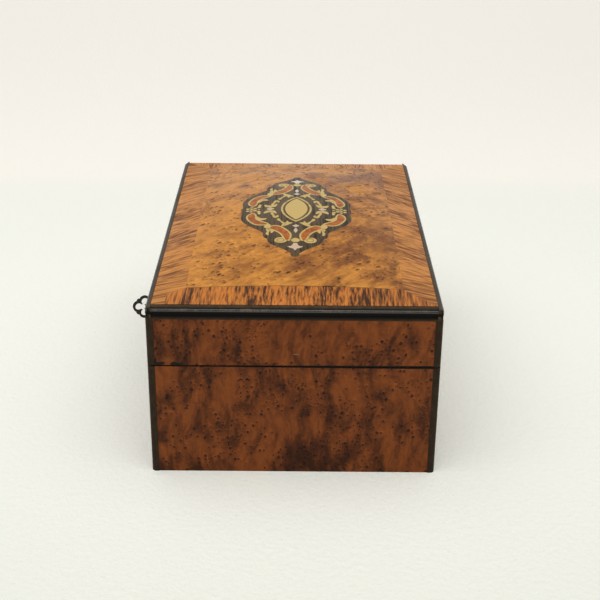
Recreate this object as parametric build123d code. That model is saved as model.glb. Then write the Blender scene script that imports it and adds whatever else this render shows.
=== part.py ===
from build123d import *
import math
import os

# A French marquetry box of about 1870: a low rectangular case with a cushion-domed lid.
# Millimetres. +X runs along the length, the lock is at -Y, the hinges at +Y, +Z is up.
# The origin is the middle of the underside.

# Case and lid, overall
box_length = 271.0
box_depth = 175.0
body_height = 73.2
seam_gap = 0.8
lid_edge_height = 38.5
lid_crown = 10.9

# Carcass
board = 8.0
veneer = 1.0
bottom_board = 6.0
bottom_rebate = 4.0
corner_lap = 3.1
lid_board = 7.4

# Ebonised posts and mouldings
post_width = 4.5
post_round = 2.6
post_proud = 0.4
moulding_height = 8.4
moulding_width = 3.5
moulding_slope = 2.1
moulding_round = 0.9

# Crossbanding round the lid, measured inward from the mouldings
band_side = 18.7
band_near = 20.4
band_far = 17.2
mitre_step = 8.0

# Linings
wall_lining = 1.2
floor_lining = 2.0
lid_lining = 1.5
lining_margin = 1.2

# Hinges, which stop the lid at stop_angle
hinge_inset = 68.0
hinge_length = 26.0
leaf_thickness = 1.3
leaf_depth = 8.1
knuckle_radius = 1.9
knuckle_clear = 0.3
knuckle_gap = 0.2
pin_radius = 0.8
pin_play = 0.05
tail_reach = 4.6
tail_thickness = 1.3
stop_angle = 100.0
stop_clear = 0.3

# Lock
key_height = 49.0
lock_width = 52.0
lock_drop = 9.0
selvedge_width = 66.0
plate = 1.2
cover_plate = 0.8
case_space = 3.5
bolt_thickness = 1.0
bolt_play = 0.1
bit_reach = 5.5
bit_thickness = 1.6
bit_play = 0.5
half_turn = 37.0
guide_radius = 1.2
guide_offset = 10.5
guide_middle = 2.5
arm_width = 3.0
lock_play = 0.3
loop_offset = 12.0
loop_thickness = 1.5
loop_width = 2.7
loop_drop = 8.0
loop_bar = 1.2
tongue_height = 2.4
spring_bow = 3.0
spring_free_bow = 2.0
spring_thickness = 0.5

# Key
pipe_radius = 2.0
drill_pin_radius = 1.0
drill_pin_play = 0.05
drill_pin_proud = 1.0
keyhole_play = 0.3
key_reach = 27.0
collar_radius = 2.9
lobe_radius = 4.1
lobe_hole = 2.4
lobe_spread = 3.9
lobe_stagger = 4.2
bow_thickness = 2.0
bow_knob = 1.9
escutcheon_rim = 1.0
escutcheon_depth = 2.0

# Screws
screw_radius = 0.8
screw_head = 1.45
screw_length = 7.0
screw_slot = 0.45
screw_slot_depth = 0.4
screw_sides = 8

# Cartouche, in its own plan: across the lid, then along it, from its middle
cartouche_shift = -1.0
brass_line = 1.2
ring_half_length = 24.4
ring_half_width = 10.5
ring_line = 1.4
plaque_half_length = 20.4
plaque_half_width = 7.6
longest_chord = 6.5
chord_turn = 40.0
walk_steps = 80

# Places worked out from the sizes above
half_length = box_length / 2
half_depth = box_depth / 2
veneer_x = half_length - post_proud
veneer_y = half_depth - post_proud
board_x = veneer_x - veneer
board_y = veneer_y - veneer
inner_x = board_x - board
inner_y = board_y - board
post_x = half_length - post_width
post_y = half_depth - post_width
lid_bottom = body_height + seam_gap
lid_edge_top = lid_bottom + lid_edge_height
frame_top = lid_edge_top - moulding_height
panel_x = half_length - moulding_width
panel_y = half_depth - moulding_width
field_near = panel_x - band_near
field_far = -panel_x + band_far
field_y = panel_y - band_side
pivot_y = veneer_y + knuckle_clear + knuckle_radius
pivot_z = body_height + seam_gap / 2
bolt_rate = bit_reach * math.sin(math.radians(half_turn)) / math.radians(half_turn)
bolt_throw = 2 * bolt_rate * math.radians(half_turn)
back_plate_y = -inner_y - plate
cover_inner_y = back_plate_y - case_space
cover_outer_y = cover_inner_y - cover_plate
lock_bottom = key_height - lock_drop
bolt_middle_y = (back_plate_y + cover_inner_y) / 2
bolt_bottom = key_height + bit_reach * math.cos(math.radians(half_turn))
loop_bottom = lid_bottom - loop_drop
bolt_top = loop_bottom - 5 * lock_play
tongue_bottom = loop_bottom + loop_bar + lock_play
guide_height = (bolt_bottom + bolt_top) / 2

parts = {}


def block(x0, x1, y0, y1, z0, z1):
    """A box between pairs of limits."""
    size = Box(x1 - x0, y1 - y0, z1 - z0)
    return Pos((x0 + x1) / 2, (y0 + y1) / 2, (z0 + z1) / 2) * size


def rod(start, direction, radius, length):
    """A round rod from a point, along a direction."""
    return extrude(Plane(start, z_dir=direction) * Circle(radius), length)


def solids_of(shape):
    """The separate solids of a result, as a list."""
    return list(shape.solids())


def group(*shapes):
    """Separate solids kept together as one sub-part."""
    found = []
    for shape in shapes:
        found += solids_of(shape)
    return found[0] if len(found) == 1 else Compound(children=found)


# Case: two long boards lapped over two end boards, rebated below for the bottom board


def long_board(side, z0, z1):
    """A front or back board, with a thin lap over each end board."""
    outer = side * board_y
    lap = side * (board_y - corner_lap)
    inner = side * inner_y
    low, high = sorted((outer, inner))
    body = block(-inner_x, inner_x, low, high, z0, z1)
    low, high = sorted((outer, lap))
    return body + block(-post_x, post_x, low, high, z0, z1)


def end_board(side, z0, z1):
    """A side board, housed in the laps of the long boards."""
    low, high = sorted((side * inner_x, side * board_x))
    reach = board_y - corner_lap
    return block(low, high, -reach, reach, z0, z1)


def body_boards():
    """The four boards of the case, cut for the bottom, the lock and the hinges."""
    rebate = block(-inner_x - bottom_rebate, inner_x + bottom_rebate,
                   -inner_y - bottom_rebate, inner_y + bottom_rebate, 0, bottom_board)
    parts["body_front_board"] = long_board(-1, 0, body_height) - rebate - lock_recess() - keyhole_cut()
    parts["body_back_board"] = long_board(1, 0, body_height) - rebate - leaf_cuts(-1)
    parts["body_left_board"] = end_board(-1, 0, body_height) - rebate
    parts["body_right_board"] = end_board(1, 0, body_height) - rebate
    parts["bottom_board"] = rebate


def side_veneers(prefix, z0, z1):
    """Burl veneer on the four outer faces, between the corner posts."""
    level = -1 if prefix == "body" else 1
    front = block(-post_x, post_x, -veneer_y, -board_y, z0, z1)
    back = block(-post_x, post_x, board_y, veneer_y, z0, z1)
    parts[prefix + "_front_veneer"] = front - escutcheon_seat() if level < 0 else front
    parts[prefix + "_back_veneer"] = back - leaf_cuts(level)
    parts[prefix + "_left_veneer"] = block(-veneer_x, -board_x, -post_y, post_y, z0, z1)
    parts[prefix + "_right_veneer"] = block(board_x, veneer_x, -post_y, post_y, z0, z1)


def corner_posts(z0, z1):
    """Four upright ebonised strips with a rounded outer corner."""
    posts = []
    for x_side in (-1, 1):
        for y_side in (-1, 1):
            x0, x1 = sorted((x_side * post_x, x_side * half_length))
            y0, y1 = sorted((y_side * post_y, y_side * half_depth))
            post = block(x0, x1, y0, y1, z0, z1)
            uprights = post.edges().filter_by(Axis.Z)
            corner = Vector(x_side * half_length, y_side * half_depth, (z0 + z1) / 2)
            outer = min(uprights, key=lambda edge: (edge.center() - corner).length)
            posts.append(fillet(outer, post_round))
    return posts


def lining_ring(z0, z1):
    """Covered card round the inside of the four walls."""
    outside = block(-inner_x, inner_x, -inner_y, inner_y, z0, z1)
    inside = block(-inner_x + wall_lining, inner_x - wall_lining,
                   -inner_y + wall_lining, inner_y - wall_lining, z0, z1)
    return outside - inside


def linings():
    """The covered linings of case and lid, cut round the back of the lock."""
    plate_cut = block(-lock_width / 2 - lining_margin, lock_width / 2 + lining_margin,
                      -inner_y, -inner_y + wall_lining, lock_bottom - lining_margin, body_height)
    ring_bottom = bottom_board + floor_lining
    parts["body_wall_lining"] = lining_ring(ring_bottom, body_height - lining_margin) - plate_cut
    parts["body_floor_lining"] = block(-inner_x, inner_x, -inner_y, inner_y, bottom_board, ring_bottom)
    panel_z = frame_top - lid_lining
    parts["lid_wall_lining"] = lining_ring(lid_bottom + lining_margin, panel_z)
    parts["lid_top_lining"] = block(-inner_x, inner_x, -inner_y, inner_y, panel_z, frame_top)


# Lid: frame boards, mouldings, and a thick panel with a cushion-domed top


def lid_boards():
    """The lid's frame, cut for the hinges and the strike plate."""
    parts["lid_front_board"] = long_board(-1, lid_bottom, frame_top) - strike_recess()
    parts["lid_back_board"] = long_board(1, lid_bottom, frame_top) - leaf_cuts(1)
    parts["lid_left_board"] = end_board(-1, lid_bottom, frame_top)
    parts["lid_right_board"] = end_board(1, lid_bottom, frame_top)


def dome_face(top):
    """The cushion: straight on all four edges, raised by the crown in the middle."""
    rows = []
    for x in (-panel_x, 0, panel_x):
        row = []
        for y in (-panel_y, 0, panel_y):
            lift = 4 * lid_crown if x == 0 and y == 0 else 0
            row.append(Vector(x, y, top + lift))
        rows.append(row)
    return Face.make_bezier_surface(rows)


def dome_sheet():
    """The space of the lid's veneer: one veneer thick, all over the dome."""
    return Solid.extrude(dome_face(lid_edge_top), Vector(0, 0, -veneer))


def dome_panel():
    """The board under the veneer: flat below, domed above."""
    deep = lid_crown + 2 * lid_board
    under = Solid.extrude(dome_face(lid_edge_top - veneer), Vector(0, 0, -deep))
    keep = block(-panel_x, panel_x, -panel_y, panel_y, frame_top, frame_top + deep)
    return under & keep


def moulding_profile():
    """A strip's section: its top slopes down to a rounded outer arris."""
    half = moulding_width / 2
    tall = moulding_height / 2
    section = flat([(-half, -tall), (half, -tall), (half, tall - moulding_slope), (-half, tall)])
    arris = min(section.vertices(), key=lambda v: abs(v.X - half) + abs(v.Y - tall + moulding_slope))
    return fillet(arris, moulding_round)


def lid_mouldings():
    """Two long strips that run through, and two end strips that butt between them."""
    plan = Pos(0, 0, frame_top) * RectangleRounded(box_length, box_depth, post_round)
    around = extrude(plan, moulding_height)
    middle_y = half_depth - moulding_width / 2
    middle_x = half_length - moulding_width / 2
    middle_z = frame_top + moulding_height / 2
    section = moulding_profile()
    for name, side in (("front", -1), ("back", 1)):
        start = Plane(origin=(-side * half_length, side * middle_y, middle_z),
                      x_dir=(0, side, 0), z_dir=(side, 0, 0))
        parts["lid_%s_moulding" % name] = extrude(start * section, box_length) & around
    for name, side in (("left", -1), ("right", 1)):
        start = Plane(origin=(side * middle_x, side * panel_y, middle_z),
                      x_dir=(side, 0, 0), z_dir=(0, -side, 0))
        parts["lid_%s_moulding" % name] = extrude(start * section, 2 * panel_y)


def flat(points):
    """A plain polygon in plan."""
    return make_face(Polyline(*points, close=True))


def walk(curve):
    """Points along a curve, closer where it turns faster; its end is left to the next curve."""
    points = []
    for step in range(walk_steps):
        spot = curve @ (step / walk_steps)
        way = curve % (step / walk_steps)
        if not points or (spot - last).length > longest_chord or way.get_angle(heading) > chord_turn:
            points.append(spot)
            last = spot
            heading = way
    return points


def sheet_of(plan):
    """What a plan outline cuts out of the domed veneer, one solid for each closed outline."""
    tall = moulding_height + 2 * lid_crown
    sheet = dome_sheet()
    cut = [sheet & extrude(Pos(0, 0, frame_top) * face, tall) for face in plan.faces()]
    return group(*cut)


def lid_bands():
    """Straight-grained crossbanding, mitred; the near front mitre was cut with a step."""
    near = [(field_near, field_y), (panel_x, panel_y), (panel_x, -panel_y + mitre_step),
            (field_near + band_near / 3, -panel_y + mitre_step), (field_near, -field_y)]
    step = [(field_near, -field_y), (field_near + band_near / 3, -panel_y + mitre_step),
            (panel_x, -panel_y + mitre_step), (panel_x, -panel_y)]
    far = [(field_far, -field_y), (-panel_x, -panel_y), (-panel_x, panel_y), (field_far, field_y)]
    front = step + [(-panel_x, -panel_y), (field_far, -field_y)]
    back = [(field_far, field_y), (-panel_x, panel_y), (panel_x, panel_y), (field_near, field_y)]
    for name, points in (("right", near), ("left", far), ("front", front), ("back", back)):
        parts["lid_%s_crossband" % name] = sheet_of(flat(points))


# Cartouche: brass, wood and pearl, sawn through with their dark ground and laid flush


def closed_spline(points):
    """A smooth closed outline through points, in short chords."""
    return flat(walk(Spline(*points, periodic=True)))


def grown(points, by, count=16):
    """A smooth outline round another, everywhere a little larger."""
    rim = Spline(*points, periodic=True)
    sides = []
    for sign in (-1, 1):
        moved = []
        for step in range(count):
            spot = rim @ (step / count)
            way = rim % (step / count)
            moved.append((spot.X + sign * by * way.Y, spot.Y - sign * by * way.X))
        sides.append(closed_spline(moved))
    return max(sides, key=lambda side: side.area)


def cusped(*runs):
    """A closed outline of smooth runs that meet in points."""
    points = []
    for run in runs:
        points += walk(Spline(*run)) if len(run) > 2 else [run[0]]
    return flat(points)


def disc(x, y, radius, sides=10):
    """A small round, as a saw cuts it."""
    return Pos(x, y) * RegularPolygon(radius, sides)


def flipped(runs, x_side, y_side):
    """Runs of points mirrored by the signs of their two directions."""
    return [[(x * x_side, y * y_side) for x, y in run] for run in runs]


def backward(runs):
    """Runs of points in the opposite order."""
    return [run[::-1] for run in runs[::-1]]


def halves(shape):
    """A shape and its mirror across the long axis."""
    return [shape, mirror(shape, Plane.YZ)]


def quarters(shape):
    """A shape mirrored to all four quarters."""
    both = halves(shape)
    return both + [mirror(part, Plane.XZ) for part in both]


def ends(shape):
    """A shape on the long axis and its mirror at the other end."""
    return [shape, mirror(shape, Plane.XZ)]


def joined(shapes):
    """One plan from several that may overlap."""
    whole = shapes[0]
    return whole + shapes[1:] if len(shapes) > 1 else whole


def pointed_oval(half_long, half_wide):
    """Two arcs that meet in a point at each end."""
    right = ThreePointArc((0, half_long), (half_wide, 0), (0, -half_long))
    left = ThreePointArc((0, -half_long), (-half_wide, 0), (0, half_long))
    return flat(walk(right) + walk(left))


def ground_outline():
    """The lobed lozenge of the dark ground."""
    tip = [(-2.7, 72.7), (-2.6, 75.2), (0, 76.9), (2.6, 75.2), (2.7, 72.7)]
    shoulder = [(2.7, 72.7), (7.4, 66.9), (13.6, 61.2), (17.4, 56.0), (18.3, 51.2)]
    waist = [(18.3, 51.2), (20.6, 48.6), (21.2, 44.6), (21.6, 40.9)]
    flank = [(21.6, 40.9), (28.8, 32.0), (34.4, 23.8), (37.3, 14.0), (36.5, 5.8)]
    side = [(36.5, 5.8), (37.6, 0), (36.5, -5.8)]
    quarter = [shoulder, waist, flank]
    right = quarter + [side] + backward(flipped(quarter, 1, -1))
    left = flipped(right, -1, -1)
    return cusped(*right, *flipped([tip], -1, -1), *left, tip)


def comma_outlines():
    """Orange wood: a long comma and a side comma in each quarter."""
    long_comma = [(14.8, 31.2), (9.4, 34.0), (5.2, 40.6), (3.7, 48.4), (5.5, 54.2),
                  (7.3, 49.6), (9.6, 42.9), (14.4, 37.2), (16.8, 33.4)]
    side_comma = [(29.6, 7.4), (27.9, 11.0), (27.3, 17.2), (23.2, 23.2), (19.2, 27.6),
                  (24.0, 28.2), (29.2, 23.6), (32.2, 16.4), (31.6, 9.6)]
    return [long_comma, side_comma]


def brass_quarter_plans():
    """Leaves, tie and sprigs of one quarter."""
    tie = closed_spline([(16.6, 28.2), (18.9, 26.4), (21.4, 29.2), (22.0, 32.6), (19.2, 35.2), (16.9, 32.6)])
    outer_leaf = closed_spline([(18.6, 34.2), (19.5, 37.0), (18.8, 40.2), (19.5, 43.2), (17.7, 46.1),
                                (17.5, 42.6), (16.9, 39.2), (17.2, 36.0)])
    small_leaf = closed_spline([(16.8, 34.8), (16.6, 38.4), (15.7, 42.6), (14.3, 40.2), (14.9, 36.9)])
    inner_leaf = closed_spline([(27.4, 12.8), (24.7, 15.0), (22.7, 17.2), (19.8, 17.6), (20.4, 19.6),
                                (22.6, 20.6), (24.9, 20.6), (27.0, 17.0)])
    calyx = closed_spline([(14.9, 3.6), (17.8, 3.1), (20.7, 3.6), (21.7, 8.4), (18.6, 6.8),
                           (16.0, 7.3), (13.3, 9.4), (13.6, 6.2)])
    stem = closed_spline([(16.9, 6.4), (17.4, 8.8), (16.2, 12.4), (14.4, 16.9), (13.2, 17.0),
                          (14.2, 13.0), (15.4, 9.2)])
    bud = closed_spline([(12.6, 12.2), (13.4, 14.4), (12.4, 16.3), (11.6, 14.2)])
    wing = closed_spline([(5.7, 22.3), (6.9, 25.6), (9.0, 28.4), (9.3, 32.2), (6.6, 30.8),
                          (3.9, 28.2), (2.1, 25.6), (4.2, 25.2)])
    sprig = closed_spline([(7.6, 27.2), (8.9, 24.0), (10.4, 20.9), (11.6, 18.4), (12.9, 19.8),
                           (11.5, 22.6), (9.8, 25.2), (8.6, 27.6)])
    side_leaf = closed_spline([(25.6, 4.4), (26.3, 7.0), (25.1, 9.8), (24.1, 7.2)])
    return [tie, outer_leaf, small_leaf, inner_leaf, calyx, stem, bud, wing, sprig, side_leaf]


def rosette():
    """The knot of brass at the lid's side cusp, on the short axis."""
    dots = [disc(30.4, 0, 1.3)]
    for x in (28.4, 32.4):
        for y in (-2.2, 2.2):
            dots.append(disc(x, y, 1.5))
    for y in (-5.2, 5.2):
        dots.append(disc(28.9, y, 1.7))
    return joined(dots)


def fan():
    """A small scallop between the volutes."""
    return closed_spline([(0, 50.4), (2.0, 51.6), (2.9, 53.9), (1.6, 56.0), (0, 56.5),
                          (-1.6, 56.0), (-2.9, 53.9), (-2.0, 51.6)])


def pearl_plans():
    """Pearl: a tulip, a drop and a flower at each end, and a flower at each side."""
    bloom = [(0, 68.6), (1.3, 65.7), (3.3, 64.6), (5.1, 62.4), (2.9, 62.2), (1.7, 60.2), (1.3, 57.8)]
    right = [bloom[:2], bloom[1:4], bloom[3:]]
    tulip = cusped(*right, [(1.3, 57.8), (-1.3, 57.8)], *backward(flipped(right, -1, 1)))
    drop = cusped([(0, 34.4), (1.3, 38.0), (0, 42.8)], [(0, 42.8), (-1.3, 38.0), (0, 34.4)])
    petals = []
    side_petals = []
    for x_side in (-1, 1):
        for y_side in (-1, 1):
            petals.append(disc(x_side * 1.05, 31.2 + y_side * 1.2, 1.3, 8))
            side_petals.append(disc(17.8 + x_side * 1.1, y_side * 1.1, 1.35, 8))
    return ends(tulip) + ends(drop) + ends(joined(petals)) + halves(joined(side_petals))


def cartouche():
    """The whole inlay, and the burl field that it is let into."""
    wood = []
    scrolls = []
    for points in comma_outlines():
        wood += quarters(closed_spline(points))
        scrolls += quarters(grown(points, brass_line))
    volute = disc(9.5, 53.5, 4.2, 16)
    leaves = []
    for plan in brass_quarter_plans() + [volute]:
        leaves += quarters(plan)
    pearl = pearl_plans()
    ring = pointed_oval(ring_half_length, ring_half_width)
    ring_hole = pointed_oval(ring_half_length - 1.6 * ring_line, ring_half_width - ring_line)
    plaque = pointed_oval(plaque_half_length, plaque_half_width)
    outline = ground_outline()
    brass = joined(scrolls + leaves + halves(rosette()) + ends(fan()) + [ring])
    brass -= wood + pearl + [ring_hole]
    turn = Pos(cartouche_shift, 0) * Rot(0, 0, 90)
    field = flat([(field_near, -field_y), (field_near, field_y), (field_far, field_y),
                  (field_far, -field_y)])
    parts["lid_burl_field"] = sheet_of(field - turn * outline)
    parts["cartouche_brass"] = sheet_of(turn * brass)
    parts["cartouche_wood"] = sheet_of(turn * joined(wood))
    parts["cartouche_pearl"] = sheet_of(turn * joined(pearl))
    parts["cartouche_plaque"] = sheet_of(turn * plaque)
    parts["cartouche_ground"] = sheet_of(turn * (outline - ([brass, plaque] + wood + pearl)))


# Hinges: two brass butts whose tails meet and stop the lid


def hinge_middles():
    """Where the two hinges sit along the back."""
    return [hinge_inset - half_length, half_length - hinge_inset]


def leaf_screws(level):
    """Two screw places on each leaf; level is -1 for the case, 1 for the lid."""
    rim = body_height if level < 0 else lid_bottom
    pitch = hinge_length / 4
    y = veneer_y - leaf_depth / 2
    return [(middle + side * pitch, y, rim) for middle in hinge_middles() for side in (-1, 1)]


def leaf_cuts(level):
    """Shallow recesses in a rim for the leaves, and the holes of their screws."""
    rim = body_height if level < 0 else lid_bottom
    z0, z1 = sorted((rim, rim + level * leaf_thickness))
    cuts = []
    for middle in hinge_middles():
        half = hinge_length / 2
        cuts.append(block(middle - half, middle + half, veneer_y - leaf_depth, veneer_y, z0, z1))
    return cuts + screw_holes(leaf_screws(level), (0, 0, -level))


def tube(x0, x1, radius):
    """A round along the hinge's axis."""
    return rod((x0, pivot_y, pivot_z), (1, 0, 0), radius, x1 - x0)


def tail(x0, x1, angle, near, far, drop=0):
    """A flat tail out from the hinge's axis, at an angle above the level."""
    bar = block(x0, x1, near, far, -tail_thickness / 2 - drop, tail_thickness / 2 - drop)
    return Pos(0, pivot_y, pivot_z) * Rot(angle, 0, 0) * bar


def body_leaf(start, finish):
    """The case's leaf: plate, two outer knuckles, and the tails that the lid's tail lands on."""
    third = hinge_length / 3
    ranges = [(start, start + third - knuckle_gap / 2), (finish - third + knuckle_gap / 2, finish)]
    room = tube(start + third - knuckle_gap / 2, finish - third + knuckle_gap / 2,
                knuckle_radius + knuckle_gap)
    bridge = block(start, finish, veneer_y - leaf_depth, pivot_y,
                   body_height - leaf_thickness, body_height)
    leaf = bridge - room
    for x0, x1 in ranges:
        leaf += tube(x0, x1, knuckle_radius)
        leaf += tail(x0, x1, 90 - stop_angle, 0, tail_reach, tail_thickness + stop_clear)
    leaf -= tube(start, finish, pin_radius)
    return leaf - screw_holes(leaf_screws(-1), (0, 0, 1))


def lid_leaf(start, finish):
    """The lid's leaf: plate, one middle knuckle, and a tail that stands up behind the lid."""
    third = hinge_length / 3
    x0 = start + third + knuckle_gap / 2
    x1 = finish - third - knuckle_gap / 2
    room_radius = knuckle_radius + knuckle_gap
    bridge = block(start, finish, veneer_y - leaf_depth, pivot_y,
                   lid_bottom, lid_bottom + leaf_thickness)
    leaf = bridge - tube(start, x0, room_radius) - tube(x1, finish, room_radius)
    leaf += tube(x0, x1, knuckle_radius)
    leaf += tail(x0, x1, 90, 0, room_radius)
    leaf += tail(start + knuckle_gap, finish - knuckle_gap, 90, room_radius, tail_reach)
    leaf -= tube(start, finish, pin_radius + pin_play)
    return leaf - screw_holes(leaf_screws(1), (0, 0, -1))


def hinges():
    """Both hinges, each with its leaves and its pin."""
    for side, middle in zip(("left", "right"), hinge_middles()):
        start = middle - hinge_length / 2
        finish = middle + hinge_length / 2
        parts["hinge_%s_body_leaf" % side] = body_leaf(start, finish)
        parts["hinge_%s_lid_leaf" % side] = lid_leaf(start, finish)
        parts["hinge_%s_pin" % side] = tube(start, finish, pin_radius)


# Screws: countersunk, with a slot


def screw_form():
    """A screw that points down from the origin, without its slot."""
    depth = screw_head - screw_radius
    rims = [Pos(0, 0, -depth) * RegularPolygon(screw_radius, screw_sides),
            RegularPolygon(screw_head, screw_sides)]
    shank = Pos(0, 0, -screw_length) * RegularPolygon(screw_radius, screw_sides)
    return loft(rims, ruled=True) + extrude(shank, screw_length - depth)


def screw_holes(places, outward):
    """What a row of screws takes out of plates and wood."""
    return [Plane(origin=place, z_dir=outward) * screw_form() for place in places]


def screws(places, outward):
    """A row of screws, with their heads toward one side."""
    slot = Box(3 * screw_head, screw_slot, 2 * screw_slot_depth)
    return [Plane(origin=place, z_dir=outward) * (screw_form() - slot) for place in places]


def selvedge_screws():
    """Two screw places in the lock's top edge."""
    x = (lock_width + selvedge_width) / 4
    y = (cover_outer_y - inner_y) / 2
    return [(-x, y, body_height), (x, y, body_height)]


def back_plate_screws():
    """Two screw places low on the lock's back plate."""
    x = lock_width / 2 - 4 * screw_radius
    z = lock_bottom + 4 * screw_radius
    return [(-x, -inner_y, z), (x, -inner_y, z)]


def strike_screws():
    """Two screw places in the strike plate."""
    x = loop_offset + 4 * screw_radius + loop_thickness
    y = (cover_outer_y - inner_y) / 2
    return [(-x, y, lid_bottom), (x, y, lid_bottom)]


# Lock: a bolt that slides along the box and enters two loops of the lid


def lock_recess():
    """The mortise for the lock, from the inside and the rim, with its screw holes."""
    cuts = [block(-lock_width / 2, lock_width / 2, cover_outer_y, -inner_y, lock_bottom, body_height),
            block(-selvedge_width / 2, selvedge_width / 2, cover_outer_y, -inner_y,
                  body_height - plate, body_height)]
    cuts += screw_holes(selvedge_screws(), (0, 0, 1))
    return cuts + screw_holes(back_plate_screws(), (0, 1, 0))


def keyhole(rim, y0, y1):
    """A keyhole's space, a rim wider than the key needs: a round with a slot below it."""
    half = bit_thickness / 2 + keyhole_play + rim
    foot = key_height - bit_reach - keyhole_play - rim
    hole = rod((0, y0, key_height), (0, 1, 0), pipe_radius + keyhole_play + rim, y1 - y0)
    return hole + block(-half, half, y0, y1, foot, key_height)


def keyhole_cut():
    """The keyhole through the front board, wider where the escutcheon sits."""
    return keyhole(0, -board_y, cover_outer_y) + escutcheon_seat()


def escutcheon_seat():
    """The space of the brass liner of the keyhole."""
    return keyhole(escutcheon_rim, -veneer_y, escutcheon_depth - veneer_y)


def lock_case():
    """Back plate, top edge and guide studs; the top edge is slotted for the loops."""
    half = lock_width / 2
    back = block(-half, half, back_plate_y, -inner_y, lock_bottom, body_height - plate)
    top = block(-selvedge_width / 2, selvedge_width / 2, cover_outer_y, -inner_y,
                body_height - plate, body_height)
    case = back + top
    for x in guide_places():
        case += rod((x, cover_inner_y, guide_height), (0, 1, 0), guide_radius, case_space)
    slot_x = loop_thickness / 2 + lock_play
    slot_y = loop_width / 2 + lock_play
    for x in (-loop_offset, loop_offset):
        case -= block(x - slot_x, x + slot_x, bolt_middle_y - slot_y, bolt_middle_y + slot_y,
                      body_height - plate, body_height)
    case -= rod((0, -inner_y, key_height), (0, -1, 0), drill_pin_radius, plate)
    case -= screw_holes(selvedge_screws(), (0, 0, 1))
    return case - screw_holes(back_plate_screws(), (0, 1, 0))


def lock_cover():
    """A shallow tray over the works, with the keyhole in its face."""
    half = lock_width / 2
    tray = block(-half, half, cover_outer_y, back_plate_y, lock_bottom, body_height - plate)
    room = block(-half + cover_plate, half - cover_plate, cover_inner_y, back_plate_y,
                 lock_bottom + cover_plate, body_height - plate)
    tray = tray - room - keyhole(0, cover_outer_y, cover_inner_y)
    return tray - screw_holes(back_plate_screws(), (0, 1, 0))


def guide_places():
    """Where the two guide studs stand."""
    return [guide_middle - guide_offset, guide_middle + guide_offset]


def lock_bolt():
    """A plate with two tongues, two guide slots and the notch that the key's bit works in."""
    y0 = bolt_middle_y - bolt_thickness / 2
    y1 = bolt_middle_y + bolt_thickness / 2
    tongue_top = tongue_bottom + tongue_height
    ends_x = []
    tongues = []
    for x in (-loop_offset, loop_offset):
        face = x - loop_thickness / 2
        arm = face - bolt_throw - lock_play
        ends_x.append(arm - arm_width)
        tongues.append(block(arm - arm_width, arm, y0, y1, bolt_bottom, tongue_top))
        tongues.append(block(arm - arm_width, face - 2 * lock_play, y0, y1, tongue_bottom, tongue_top))
    right = guide_places()[1] + 3 * guide_radius
    bolt = block(min(ends_x), right, y0, y1, bolt_bottom, bolt_top) + tongues
    reach = guide_radius + bolt_play
    for x in guide_places():
        bolt -= block(x - reach - bolt_throw, x + reach, y0, y1, guide_height - reach, guide_height + reach)
    half = bit_thickness / 2 + bit_play
    middle = -bolt_throw / 2
    return bolt - block(middle - half, middle + half, y0, y1, bolt_bottom,
                        key_height + bit_reach + bit_play)


def lock_spring():
    """A bowed leaf under the bolt, held at the end wall of the case."""
    left = -lock_width / 2 + cover_plate
    right = -bit_reach - 10 * lock_play
    crest = bolt_bottom - lock_play
    middle = (left + right) / 2
    bow_line = ThreePointArc((left, crest - spring_bow), (middle, crest), (right, crest - spring_free_bow))
    under = Pos(0, -spring_thickness) * bow_line
    outline = make_face([bow_line, Line(bow_line @ 1, under @ 1), under, Line(under @ 0, bow_line @ 0)])
    width = loop_width - 2 * lock_play
    face = Plane(origin=(0, bolt_middle_y + width / 2, 0), x_dir=(1, 0, 0), z_dir=(0, -1, 0)) * outline
    return extrude(face, width)


def drill_pin():
    """The pin that the pipe of the key turns on, riveted in the back plate."""
    length = plate + case_space + cover_plate + drill_pin_proud
    return rod((0, -inner_y, key_height), (0, -1, 0), drill_pin_radius, length)


def strike_recess():
    """The recess for the strike plate in the lid's rim, with its screw holes."""
    reach = strike_screws()[1][0] + 3 * screw_radius
    seat = block(-reach, reach, cover_outer_y, -inner_y, lid_bottom, lid_bottom + plate)
    return [seat] + screw_holes(strike_screws(), (0, 0, -1))


def strike_plate():
    """A plate let into the lid's rim, with two loops that drop into the lock."""
    reach = strike_screws()[1][0] + 3 * screw_radius
    strike = block(-reach, reach, cover_outer_y, -inner_y, lid_bottom, lid_bottom + plate)
    half_hole = bolt_thickness / 2 + lock_play / 2
    hole_bottom = loop_bottom + loop_bar
    for x in (-loop_offset, loop_offset):
        x0 = x - loop_thickness / 2
        x1 = x + loop_thickness / 2
        loop = block(x0, x1, bolt_middle_y - loop_width / 2, bolt_middle_y + loop_width / 2,
                     loop_bottom, lid_bottom)
        lower = loop.edges().filter_by(Axis.X).sort_by(Axis.Z)[:2]
        hole = block(x0, x1, bolt_middle_y - half_hole, bolt_middle_y + half_hole,
                     hole_bottom, hole_bottom + tongue_height + 2 * lock_play)
        strike += chamfer(lower, loop_bar / 3) - hole
    return strike - screw_holes(strike_screws(), (0, 0, -1))


# Key: a trefoil bow with small knobs between its lobes, a pipe, and a bit


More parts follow.
